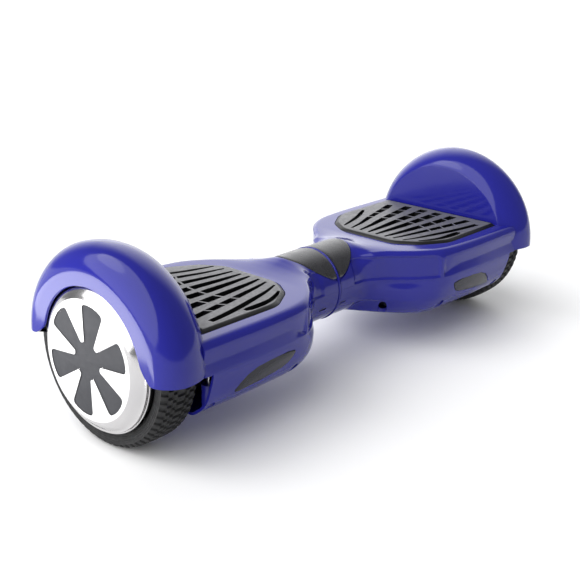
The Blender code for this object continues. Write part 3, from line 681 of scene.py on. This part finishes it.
SLOTS = [   # centre line (|x|, y) and width of each slot, from the front to the rear
    ([(109, -53.5), (116, -57.6), (124, -61.5), (134, -64.8), (148, -66.3), (160, -66.4), (166, -65.8)], (1.6, 2.6, 3.4, 4.2, 5.4, 5.4, 3.0)),
    ([(99.6, -39.6), (119, -46.6), (138.5, -51.4), (165, -57.6), (188, -61.6), (205, -63.6)], (1.4, 2.8, 4.0, 4.6, 4.6, 4.2)),
    ([(98.3, -27.9), (114, -31.5), (139, -36), (160, -39.8), (188, -44.2), (212, -48)], (1.6, 3.0, 4.4, 5.0, 5.2, 5.2)),
    ([(97, -17.5), (111, -19.5), (150, -23), (190, -25.8), (214, -27)], (1.8, 3.6, 6.0, 6.8, 6.6)),
    ([(97.5, -5.6), (112, -6.2), (150, -7.1), (190, -6.8), (214.5, -6.2)], (1.8, 3.8, 6.2, 7.0, 7.0)),
    ([(98.2, 5.0), (112, 5.6), (129, 6.6), (152, 8.6), (178, 10.2), (200, 12.4), (214.5, 13.6)], (1.8, 3.6, 5.0, 6.2, 7.0, 7.0, 7.0)),
    ([(98.3, 16.3), (120, 19), (140, 22.8), (155, 25.7), (176, 29), (196, 32.6), (213.5, 35.4)], (1.8, 3.6, 4.8, 5.6, 6.2, 6.4, 6.4)),
    ([(98.3, 28), (120, 32.4), (140, 38.6), (158, 43.4), (175, 47.6), (191, 51.7), (205, 56.2)], (1.6, 3.0, 4.0, 4.4, 5.0, 6.0, 4.6)),
    ([(100.3, 40.2), (117, 44.8), (134, 50.2), (152, 58), (165, 64.4)], (1.4, 2.8, 3.4, 3.4, 1.8)),
]
BARS = (161.0, 182.0, 203.0)      # thin bars that cross the slots, bowed towards the mudguard


def stroke(points, widths):
    """Outline of a tapered stroke with rounded ends, anticlockwise."""
    t = [0.0]
    for a, b in zip(points, points[1:]):
        t.append(t[-1] + math.hypot(b[0] - a[0], b[1] - a[1]))
    fx, fy = pchip([(s, p[0]) for s, p in zip(t, points)]), pchip([(s, p[1]) for s, p in zip(t, points)])
    fw = pchip(list(zip(t, widths)))
    n = max(6, int(t[-1] / 4))
    left, right = [], []
    for k in range(n + 1):
        s = t[-1] * k / n
        e = 0.5
        dx, dy = fx(min(s + e, t[-1])) - fx(max(s - e, 0)), fy(min(s + e, t[-1])) - fy(max(s - e, 0))
        l = math.hypot(dx, dy)
        nx, ny = -dy / l, dx / l
        w = fw(s) / 2
        left.append((fx(s) + nx * w, fy(s) + ny * w))
        right.append((fx(s) - nx * w, fy(s) - ny * w))
    return right + left[::-1]


# ------------------------------------------------------------------ right half: upper cover
def joined(obj, *others):
    """Puts the meshes of the others into obj as they are."""
    bm = bmesh.new()
    bm.from_mesh(obj.data)
    for other in others:
        mine = list(obj.data.materials)
        shade = other.data.materials[0] if other.data.materials else mine[0]
        if shade not in mine:
            obj.data.materials.append(shade)
            mine.append(shade)
        first = len(bm.faces)
        bm.from_mesh(other.data)
        bm.faces.ensure_lookup_table()
        for face in bm.faces[first:]:
            face.material_index = mine.index(shade)
        bpy.data.objects.remove(other, do_unlink=True)
    bm.to_mesh(obj.data)
    bm.free()
    obj.data.shade_smooth()
    obj.data.set_sharp_from_angle(angle=math.radians(32))
    return obj


def build_upper():
    body = body_surface("upper_cover_right_fine", stations(240.0), upper_section, wall_relief)
    solidify(body, 2.4)
    space_profile = [(0, WALL_X - WHEEL_X + 1.2), (WALL_R - 1.0, WALL_X - WHEEL_X + 1.2)]
    space_profile += [(r - 1.2, h + (1.0 if h < 0 else -0.6)) for r, h in bowed((CROWN_R, CROWN_X - WHEEL_X), (WALL_R + 0.5, WALL_X - WHEEL_X + 0.15), 69.0, 12, False)[::-1]]
    space_profile += [(LIP_OUT_R + 2.0, LIP_X - WHEEL_X - 3.0), (0, LIP_X - WHEEL_X - 3.0)]
    space = lathe("wheel_space", space_profile, (WHEEL_X, 0, AXLE_Z), steps=120, closed=False)
    boolean(body, space)
    guard = mudguard()
    boolean(body, guard, "UNION")
    deck = prism("deck_tray", offset_outline(MAT_OUTLINE, 2.4), 101.8, 109.6)
    boolean(body, deck, "UNION")
    pocket = prism("mat_pocket", offset_outline(MAT_OUTLINE, 0.45), MAT_Z - 1.8, 125.0)
    boolean(body, pocket)
    bead = cylinder("bead", (227.6, 0, 110.6), (0, 1, 0), 1.15, 176.0, sides=20, mat=BLUE)
    seat_plan = [((44.5) * math.cos(math.radians(a)), 35.6 * math.sin(math.radians(a))) for a in range(-88, 89, 4)]
    seat = prism("trim_seat", [(0.5, -35.6)] + seat_plan + [(0.5, 35.6)], 88.2, 130.0)
    core = cylinder("trim_core", (30, 0, PIVOT_Z), (1, 0, 0), 36.1, 80, sides=96)
    boolean(seat, core)
    boolean(body, seat)
    return joined(body, bead)


upper = build_upper()
upper_left = mirrored(upper, "upper_cover_left_fine")


def taper_frame(side):
    """Point on the rear taper of one half where its button or socket sits, and the outward direction."""
    x, y, slope = (93.0, 74.6 + 10.0 * 8 / 15, math.atan2(10.0, 15)) if side > 0 else (80.0, 62.4 + 12.2 * 8 / 13, math.atan2(12.2, 13))
    return Vector((side * x, y, 95.0)), Vector((-side * math.sin(slope), math.cos(slope), 0))


port_at, port_n = taper_frame(-1)
button_at, button_n = taper_frame(1)
boolean(upper, cylinder("button_hole", button_at - button_n * 5, button_n, 8.2, 30, sides=48))
boolean(upper_left, cylinder("port_hole", port_at - port_n * 5, port_n, 9.5, 30, sides=48))

# ------------------------------------------------------------------ right half: lower cover
LENS_LEAN = math.radians(15.5)
LENS_AT = Vector((164.0, -88.2, 60.5))
LENS_PLAN = rounded([(-38.0, 10.4), (-27.0, 12.0), (-3.0, 12.0), (12.0, 10.6), (23.5, 6.0), (31.0, -0.4), (35.0, -6.4), (33.5, -9.2),
                     (25.0, -9.0), (1.0, -6.6), (-22.0, -3.6), (-31.0, -0.2), (-36.0, 5.6)][::-1], [1.2, 4, 4, 4, 8, 4, 1.6, 2.5, 8, 8, 8, 4, 1.5], segments=4)


def lens_place(x, y, z):
    """Lens plane: x along the wall, y up it, z outwards."""
    up = Vector((0, -math.sin(LENS_LEAN), math.cos(LENS_LEAN)))
    out = Vector((0, -math.cos(LENS_LEAN), -math.sin(LENS_LEAN)))
    return tuple(LENS_AT + Vector((1, 0, 0)) * x + up * y + out * z)


def build_lower():
    xs = [x for x in stations(229.0) if x < 226] + [229.6, 230.8]
    body = body_surface("lower_cover_right_fine", xs, lower_section, None)
    solidify(body, 2.4)
    rows = []
    for x in (228.2, 230.7):
        half = lower_section(x)
        ring = [(-y * 0.985, z) for y, z in half] + [(y * 0.985, z) for y, z in half[:-1][::-1]]
        rows.append([(x, y, max(z, KEEL(x) + 0.7)) for y, z in ring])
    n = len(rows[0])
    faces = grid_faces(2, n, close_v=True) + [tuple(range(n - 1, -1, -1)), tuple(range(n, 2 * n))]
    # painted shade: the end wall facing the wheel is made black, standing in for the shadow the wheel and mudguard cast
    # into the well
    end = mesh_object("end_wall", rows[0] + rows[1], faces, BLACK)
    inside = [end]
    for x, y in SCREWS:
        for s in (1, -1):
            boss = cylinder("boss", (x, s * y, 54.0), (0, 0, 1), 6.6, 24.0, sides=36, mat=BLUE)
            rows = []
            for xx in (x - 9, x - 4.5, x, x + 4.5, min(x + 9, 230.4)):
                half = lower_section(xx)
                ring = [(-yy * 0.982, zz + 0.9) for yy, zz in half] + [(yy * 0.982, zz + 0.9) for yy, zz in half[:-1][::-1]]
                rows += [(xx, yy, zz) for yy, zz in ring]
            m = len(rows) // 5
            sides = grid_faces(5, m, close_v=True) + [tuple(range(m - 1, -1, -1)), tuple(range(4 * m, 5 * m))]
            boolean(boss, mesh_object("limit", rows, sides), "INTERSECT")
            boolean(boss, cylinder("pocket", (x, s * y, POCKET_Z / 2), (0, 0, 1), 4.8, POCKET_Z, sides=36))
            boolean(boss, cylinder("bore", (x, s * y, 64.0), (0, 0, 1), 2.2, 14.0, sides=16))
            boolean(body, cylinder("pocket", (x, s * y, POCKET_Z / 2), (0, 0, 1), 4.85, POCKET_Z, sides=36))
            inside.append(boss)
    boolean(body, prism("window", offset_outline(LENS_PLAN, 0.5), -9.0, 9.0, place=lens_place))
    boolean(inside[0], cylinder("axle_hole", (WALL_X, 0, AXLE_Z), (1, 0, 0), 16.0, 20.0, sides=64))
    return joined(body, *inside)


def waist_slot(cover, x0, x1):
    """Small slot along X, low on the front of the waist, with painted shade: a black piece lines its floor."""
    a = math.radians(112.0)
    out, along = Vector((0, -math.sin(a), math.cos(a))), Vector((0, -math.cos(a), -math.sin(a)))
    at = Vector((0, 0, PIVOT_Z)) + out * WAIST_R

    def place(x, y, z):
        return tuple(at + Vector((x, 0, 0)) + along * y + out * z)
    boolean(cover, prism("slot", rounded([(x0, -1.0), (x1, -1.0), (x1, 1.0), (x0, 1.0)], 0.9), -1.4, 4.0, place=place))
    # painted shade: a black piece at the bottom of the slot stands in for the shade inside it
    return joined(cover, prism("slot_floor", rounded([(x0 + 0.1, -0.9), (x1 - 0.1, -0.9), (x1 - 0.1, 0.9), (x0 + 0.1, 0.9)], 0.8), -1.35, -0.7,
                               BLACK, place=place))


lower = build_lower()
lower_left = mirrored(lower, "lower_cover_left_fine")
waist_slot(lower, 3.6, 12.5)
waist_slot(lower_left, -28.5, -18.0)

lens = prism("light_lens_right_fine", offset_outline(LENS_PLAN, 0.0), -2.4, 0.1, LENS, place=lens_place)
bevel(lens, 0.5, 2)

# ------------------------------------------------------------------ right half: waist insert
def waist_insert():
    rows, nx, na = [], 30, 61
    limit = math.degrees(math.asin(34.6 / WAIST_R))
    top, under = [], []
    for i in range(na):
        u = -1 + 2 * i / (na - 1)
        a = math.radians(limit * u)
        y = 37.5 * math.sin(a)
        reach = 44.0 * math.sqrt(max(1 - (y / 35.2) ** 2, 0.0))
        row_t, row_u = [], []
        for k in range(nx):
            t = k / (nx - 1)
            t = 1 - (1 - t) ** 1.7
            x = 2.2 + max(reach - 2.2, 0.4) * t
            edge = min((1 - t) * max(reach, 1.0), (1 - abs(u)) * 34.0, (x - 2.2) + 0.5)
            lift = 0.55 * (1 - math.exp(-max(edge, 0.0) / 0.5))
            r = 37.25 + lift
            row_t.append((x, r * math.sin(a), PIVOT_Z + r * math.cos(a)))
            row_u.append((x, 36.3 * math.sin(a), PIVOT_Z + 36.3 * math.cos(a)))
        top.append(row_t)
        under.append(row_u)
    verts = [p for row in top for p in row] + [p for row in under for p in row]
    m = na * nx
    faces = grid_faces(na, nx)
    faces += [tuple(m + q for q in f[::-1]) for f in grid_faces(na, nx)]
    for i in range(na - 1):
        for k in (0, nx - 1):
            a, b = i * nx + k, (i + 1) * nx + k
            faces.append((a, b, m + b, m + a))
    for k in range(nx - 1):
        for i in (0, na - 1):
            a, b = i * nx + k, i * nx + k + 1
            faces.append((a, b, m + b, m + a))
    return mesh_object("waist_insert_right_fine", verts, faces, GREY, sharp=50)


insert = waist_insert()

ring_profile = arc_points((36.9, 0.0), 1.35, 90, -90, 10) + [(33.6, -1.35), (33.2, -4.0), (31.8, -4.0), (31.8, 4.0), (33.2, 4.0), (33.6, 1.35)]
ring = lathe("joint_ring_fine", ring_profile, (0, 0, PIVOT_Z), BLUE, steps=120)

# ------------------------------------------------------------------ right half: foot mat
def build_mat():
    inset = offset_outline(MAT_OUTLINE, -4.2)
    levels = [(MAT_OUTLINE, MAT_Z), (MAT_OUTLINE, MAT_EDGE_Z - 0.4), (offset_outline(MAT_OUTLINE, -0.35), MAT_EDGE_Z + 0.15),
              (offset_outline(MAT_OUTLINE, -3.7), MAT_TOP_Z - 0.2), (offset_outline(MAT_OUTLINE, -4.5), MAT_TOP_Z)]
    n = len(MAT_OUTLINE)
    verts, faces = [], []
    for plan, z in levels:
        verts += [(x, y, z) for x, y in plan]
    for i in range(len(levels) - 1):
        for k in range(n):
            m = (k + 1) % n
            faces.append((i * n + k, i * n + m, (i + 1) * n + m, (i + 1) * n + k))
    faces += [tuple(range(n - 1, -1, -1)), tuple(range((len(levels) - 1) * n, len(levels) * n))]
    mat = mesh_object("foot_mat_right_fine", verts, faces, MAT)
    for points, widths in SLOTS:
        slot = prism("slot", stroke(points, [w * 1.42 + 0.3 for w in widths]), MAT_TOP_Z - 4.3, MAT_TOP_Z + 2.0)
        for x0 in BARS:
            bar = []
            for yy in range(-60, 61, 10):
                bar.append((x0 - 0.0072 * yy * yy - 1.15, yy))
            back = [(x + 2.3, yy) for x, yy in bar]
            mid = points[len(points) // 2][1]
            if abs(mid) < 45:
                boolean(slot, prism("bar", bar[::-1] + back, MAT_TOP_Z - 5.0, MAT_TOP_Z + 4.0))
        boolean(mat, slot)
    for s in (-1, 1):
        bm_low, bm_high = (130, min(s * 28.8, s * 37.2), 95.4), (160, max(s * 28.8, s * 37.2), 108.6)
        post = prism("post", [(130, bm_low[1]), (160, bm_low[1]), (160, bm_high[1]), (130, bm_high[1])], 95.4, 108.6)
        boolean(mat, post, "UNION")
    return bevel(mat, 0.32, 2, angle=48)


mat_right = build_mat()

# ------------------------------------------------------------------ right half: wheel
WHEEL_AT = (WHEEL_X, 0.0, AXLE_Z)


def build_tyre():
    """Solid tyre: ringed sidewalls, small shoulder lugs and rows of staggered blocks across the tread."""
    lugs, per = 66, 8
    nu = lugs * per
    base = [(66.2, 14.5), (67.6, 16.6), (69.2, 17.7), (70.4, 18.15), (70.9, 17.85), (71.4, 18.35), (72.3, 18.75), (72.8, 18.45), (73.3, 18.9),
            (74.2, 19.2), (74.7, 18.9), (75.2, 19.3), (76.1, 19.45), (76.6, 19.15), (77.1, 19.5), (78.0, 19.45), (78.3, 19.3), (79.0, 18.9), (79.9, 18.25), (80.8, 17.4),
            (81.5, 16.5), (82.0, 15.6), (82.3, 14.8)]
    across = [14.2, 13.7, 12.4, 11.0, 9.6, 9.1, 7.8, 6.4, 5.2, 4.7, 3.4, 2.0, 0.6]
    base += [(83.0 - 0.0028 * w * w, w) for w in across]
    full = base + [(r, -h) for r, h in base[::-1]]
    verts = []
    for k in range(nu):
        a = 2 * math.pi * k / nu
        for r, h in full:
            phase = (k % per) / per
            w = abs(h)
            cut = 0.0
            if r > 78.2:
                if w > 14.3:                       # shoulder lugs
                    cut = 1.9 * step(78.2, 79.2, r) * (1 if phase < 0.26 else 0)
                elif w > 13.8 or 9.2 < w < 9.5 or 9.0 < w < 9.2 or 4.6 < w < 4.8:
                    cut = 1.5                      # circumferential grooves
                elif w > 9.2:
                    cut = 1.7 if (phase + 0.5) % 1.0 < 0.26 else 0.0
                elif w > 4.9:
                    cut = 1.7 if phase < 0.26 else 0.0
                else:
                    cut = 1.7 if (phase + 0.5) % 1.0 < 0.26 else 0.0
            rr = r - cut
            verts.append((WHEEL_X + h, rr * math.sin(a), AXLE_Z + rr * math.cos(a)))
    faces = grid_faces(nu, len(full), close_u=True, close_v=True)
    return mesh_object("tyre_right_fine", verts, faces, RUBBER, sharp=40)


tyre = build_tyre()

hub_h = HUB_FACE_X - WHEEL_X
cap_profile = ([(0, hub_h), (30.0, hub_h), (53.4, hub_h), (54.2, hub_h - 0.15), (54.9, hub_h - 0.6)]
               + [(54.9 + (63.4 - 54.9) * t, hub_h - 0.6 - 6.4 * (t ** 1.35)) for t in (0.12, 0.25, 0.4, 0.55, 0.7, 0.85, 1.0)]
               + [(63.9, hub_h - 7.5), (64.4, hub_h - 7.7), (65.6, hub_h - 7.7), (66.1, hub_h - 8.0), (66.2, hub_h - 8.6), (66.2, 19.9),
                  (63.4, 19.9), (52.6, hub_h - 3.2), (0, hub_h - 3.2)])
hub = lathe("hub_cap_right_fine", cap_profile, WHEEL_AT, POLISHED, steps=160, closed=False, sharp=24)


def star_plan(grow=0.0):
    pts, radii = [], []
    for k in range(6):
        middle = math.radians(STAR_TURN + 60 * k)

        def at(r, off):
            a = middle + math.radians(off)
            return (r * math.cos(a), r * math.sin(a))
        R = 50.2 + grow
        pts += [at(R - 0.6, -15.6 - grow), at(R + 0.15, -7.5), at(R + 0.4, 0.0), at(R + 0.15, 7.5), at(R - 0.6, 15.6 + grow)]
        radii += [4.6, 0, 0, 0, 4.6]
        tooth = middle + math.radians(30)
        along = Vector((math.cos(tooth), math.sin(tooth)))
        across = Vector((-along.y, along.x))
        r = 15.6 + grow
        pts += [tuple(along * (r + 0.6) - across * (2.5 - grow)), tuple(along * (r + 0.6) + across * (2.5 - grow))]
        radii += [2.2, 2.2]
    return rounded(pts, radii, segments=6)


def wheel_place(side=1):
    def place(x, y, z):
        # plan x is up, plan y is towards the front, z is outwards along the axle
        return (WHEEL_X + z, -y, AXLE_Z + x)
    return place


boolean(hub, prism("star_pocket", star_plan(0.25), hub_h - 1.5, hub_h + 4.0, place=wheel_place()), sharp=24)
bevel(hub, 0.25, 2, angle=40, sharp=24)
hub.data.materials.append(SATIN)
for poly in hub.data.polygons:
    if poly.center.x > (HUB_FACE_X - 0.25) * MM and poly.normal.x > 0.9:
        poly.material_index = 1
star = prism("hub_star_right_fine", star_plan(-0.05), hub_h - 1.9, hub_h - 0.75, STAR, place=wheel_place())
bevel(star, 0.3, 2, angle=40)

rim_profile = [(66.55, 22.0), (67.1, 22.1), (67.7, 21.7), (67.75, 20.6), (67.0, 19.0), (65.7, 15.2), (65.7, -15.2), (67.0, -19.0), (67.75, -20.6),
               (67.7, -21.7), (67.1, -22.1), (61.0, -22.0), (61.0, 14.5), (18.0, 14.5), (18.0, 11.0), (12.3, 11.0), (12.3, 19.5), (66.55, 19.5)]
rim = lathe("wheel_rim_right_fine", rim_profile, WHEEL_AT, POLISHED, steps=128)
cover_profile = [(60.6, -17.5), (60.6, -20.9), (60.0, -21.5), (48.0, -21.5), (46.5, -20.9), (24.0, -20.9), (22.0, -21.5), (8.0, -21.5), (7.5, -21.0),
                 (7.5, -20.3), (12.3, -20.3), (12.3, -12.0), (17.0, -12.0), (17.0, -17.5)]
motor_cover = lathe("motor_side_cover_right_fine", cover_profile, WHEEL_AT, CAST, steps=96)

# ------------------------------------------------------------------ power button, charging cap
def taper_lathe(name, profile, at, n, mat, steps=64):
    obj = lathe(name, profile, (0, 0, 0), mat, steps=steps, closed=False)
    turn = Vector((1, 0, 0)).rotation_difference(n).to_matrix().to_4x4()
    obj.data.transform(Matrix.Translation(at * MM) @ turn)
    return obj


button = taper_lathe("power_button_fine", [(0, -2.35), (2.6, -2.38), (5.2, -2.2), (6.6, -2.1), (7.3, -2.25), (7.7, -2.6), (7.8, -3.1), (7.8, -5.2), (9.6, -5.2),
                                           (9.6, -8.0), (0, -8.0)], button_at, button_n, BLACK)
cap = taper_lathe("charging_cap_fine", [(0, 0.9), (4.6, 0.9), (5.0, 0.6), (5.6, 0.6), (6.0, 0.9), (8.2, 0.85), (8.8, 0.6), (9.1, 0.1), (9.1, -1.3), (0, -1.3)],
                  port_at, port_n, BLACK)

# ------------------------------------------------------------------ screws: pan head with a cross recess
def screw(name, x, y):
    obj = lathe(name, [(0, -2.6), (2.4, -2.6), (3.5, -2.2), (4.0, -1.4), (4.0, -0.3), (1.9, -0.3), (1.9, 12.6), (1.0, 13.5), (0, 13.5)], (0, 0, 0), STEEL,
                steps=28, closed=False)
    obj.data.transform(Matrix.Rotation(-math.pi / 2, 4, "Y"))
    cross = prism("cross", [(-2.2, -0.45), (-0.45, -0.45), (-0.45, -2.2), (0.45, -2.2), (0.45, -0.45), (2.2, -0.45), (2.2, 0.45), (0.45, 0.45),
                            (0.45, 2.2), (-0.45, 2.2), (-0.45, 0.45), (-2.2, 0.45)], -3.4, -1.3)
    boolean(obj, cross)
    obj.data.transform(Matrix.Translation(Vector((x, y, POCKET_Z)) * MM))
    return obj


# ------------------------------------------------------------------ ride on the frame
def stand(obj, node, body, slot=None):
    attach(obj, body)
    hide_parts(node)


stand(upper, "upper_cover_right", "right_half", "gloss_blue_plastic")
stand(upper_left, "upper_cover_left", "left_half", "gloss_blue_plastic")
stand(lower, "lower_cover_right", "right_half", "gloss_blue_plastic")
stand(lower_left, "lower_cover_left", "left_half", "gloss_blue_plastic")
stand(ring, "joint_ring", "left_half", "gloss_blue_plastic")
stand(button, "power_button", "power_button", "black_plastic")
stand(cap, "charging_cap", "charging_cap", "black_plastic")
for obj, stem, body, slot in ((lens, "light_lens", "half", "smoked_lens"), (insert, "waist_insert", "half", "dark_grey_plastic"),
                              (mat_right, "foot_mat", "mat", "grey_mat_rubber"), (tyre, "tyre", "wheel", "tyre_rubber"),
                              (hub, "hub_cap", "wheel", "polished_aluminium"), (star, "hub_star", "wheel", "star_grey_paint"),
                              (rim, "wheel_rim", "wheel", "polished_aluminium"), (motor_cover, "motor_side_cover", "wheel", "cast_aluminium")):
    other = mirrored(obj, obj.name.replace("right", "left"))
    stand(obj, f"{stem}_right", f"right_{body}", slot)
    stand(other, f"{stem}_left", f"left_{body}", slot)
first = {}
for side, label in ((1, "right"), (-1, "left")):
    for i, (x, y) in enumerate(SCREWS, 1):
        for s, where in ((-1, "front"), (1, "rear")):
            name = f"cover_screw_{label}_{where}_{i}"
            stand(screw(name + "_fine", side * x, s * y), name, f"{label}_half", "steel")

# ------------------------------------------------------------------ floor, light, camera
def stage_floor():
    """Plain pale floor."""
    verts, nx = [], 3
    profile = [(-60.0, 0.0), (0.0, 0.0), (60.0, 0.0)]
    for d, z in profile:
        for k in range(nx):
            verts.append((d, -60 + 60 * k, z))
    turn = math.radians(41.671)
    pts = []
    for d, s, z in verts:
        pts.append((d * math.cos(turn) + s * math.sin(turn), d * math.sin(turn) - s * math.cos(turn), z))
    mesh = bpy.data.meshes.new("studio_floor")
    mesh.from_pydata(pts, [], grid_faces(len(profile), nx))
    mat = bpy.data.materials.new("studio_white")
    mat.use_nodes = True
    shader = mat.node_tree.nodes["Principled BSDF"]
    shader.inputs["Base Color"].default_value = (0.93, 0.93, 0.93, 1)
    shader.inputs["Roughness"].default_value = 0.75
    mesh.materials.append(mat)
    obj = bpy.data.objects.new("studio_floor", mesh)
    bpy.context.scene.collection.objects.link(obj)
    bm = bmesh.new()
    bm.from_mesh(mesh)
    bmesh.ops.recalc_face_normals(bm, faces=bm.faces)
    bm.to_mesh(mesh)
    bm.free()
    mesh.shade_smooth()
    return obj


stage_floor()

world = bpy.data.worlds.new("studio")
bpy.context.scene.world = world
world.use_nodes = True
tree = world.node_tree
ground = tree.nodes["Background"]
where = tree.nodes.new("ShaderNodeTexCoord")
aim = tree.nodes.new("ShaderNodeVectorMath")
aim.operation = "DOT_PRODUCT"
aim.inputs[1].default_value = (0.735, 0.650, 0.190)
tree.links.new(where.outputs["Generated"], aim.inputs[0])
glow = tree.nodes.new("ShaderNodeMapRange")
glow.interpolation_type = "SMOOTHSTEP"
glow.inputs["From Min"].default_value = 0.55
glow.inputs["From Max"].default_value = 0.98
glow.inputs["To Min"].default_value = 0.27
glow.inputs["To Max"].default_value = 1.9
tree.links.new(aim.outputs["Value"], glow.inputs["Value"])
tree.links.new(glow.outputs["Result"], ground.inputs["Strength"])
ground.inputs["Color"].default_value = (0.98, 0.985, 1.0, 1)


def area(name, at, target, size, power, size_y=None, colour=(1, 1, 1)):
    data = bpy.data.lights.new(name, "AREA")
    data.energy = power
    data.color = colour
    data.shape = "RECTANGLE"
    data.size = size
    data.size_y = size_y or size
    obj = bpy.data.objects.new(name, data)
    obj.location = at
    obj.rotation_euler = (Vector(target) - Vector(at)).to_track_quat("-Z", "Y").to_euler()
    bpy.context.scene.collection.objects.link(obj)
    return obj


for name, energy, angle, towards in (("key", 3.6, 88, (0.76, -0.16, -0.63)), ("glint", 0.42, 32, (0.40, -0.47, -0.77))):
    sun_data = bpy.data.lights.new(name, "SUN")
    sun_data.energy = energy
    sun_data.angle = math.radians(angle)
    sun = bpy.data.objects.new(name, sun_data)
    sun.rotation_euler = Vector(towards).to_track_quat("-Z", "Y").to_euler()
    bpy.context.scene.collection.objects.link(sun)
area("floor_glow", (-0.64, 0.27, 0.004), (-0.64, 0.27, 1.0), 0.42, 4.0, 0.54)

cam_data = bpy.data.cameras.new("camera")
cam_data.sensor_width = 36.0
cam_data.lens = 1076.5085 / 580 * 36
cam_data.clip_start = 0.01
cam = bpy.data.objects.new("camera", cam_data)
bpy.context.scene.collection.objects.link(cam)
yaw, pitch, roll = math.radians(48.329), math.radians(19.589), math.radians(0.802)
forward = Vector((math.sin(yaw) * math.cos(pitch), math.cos(yaw) * math.cos(pitch), -math.sin(pitch)))
right = forward.cross(Vector((0, 0, 1))).normalized()
up = right.cross(forward)
R = right * math.cos(roll) + up * math.sin(roll)
U = up * math.cos(roll) - right * math.sin(roll)
M = Matrix((R, U, -forward)).transposed().to_4x4()
M.translation = Vector((-0.7922523, -0.6753212, 0.4427249))
cam.matrix_world = M
bpy.context.scene.camera = cam
bpy.context.scene.view_settings.view_transform = "Standard"
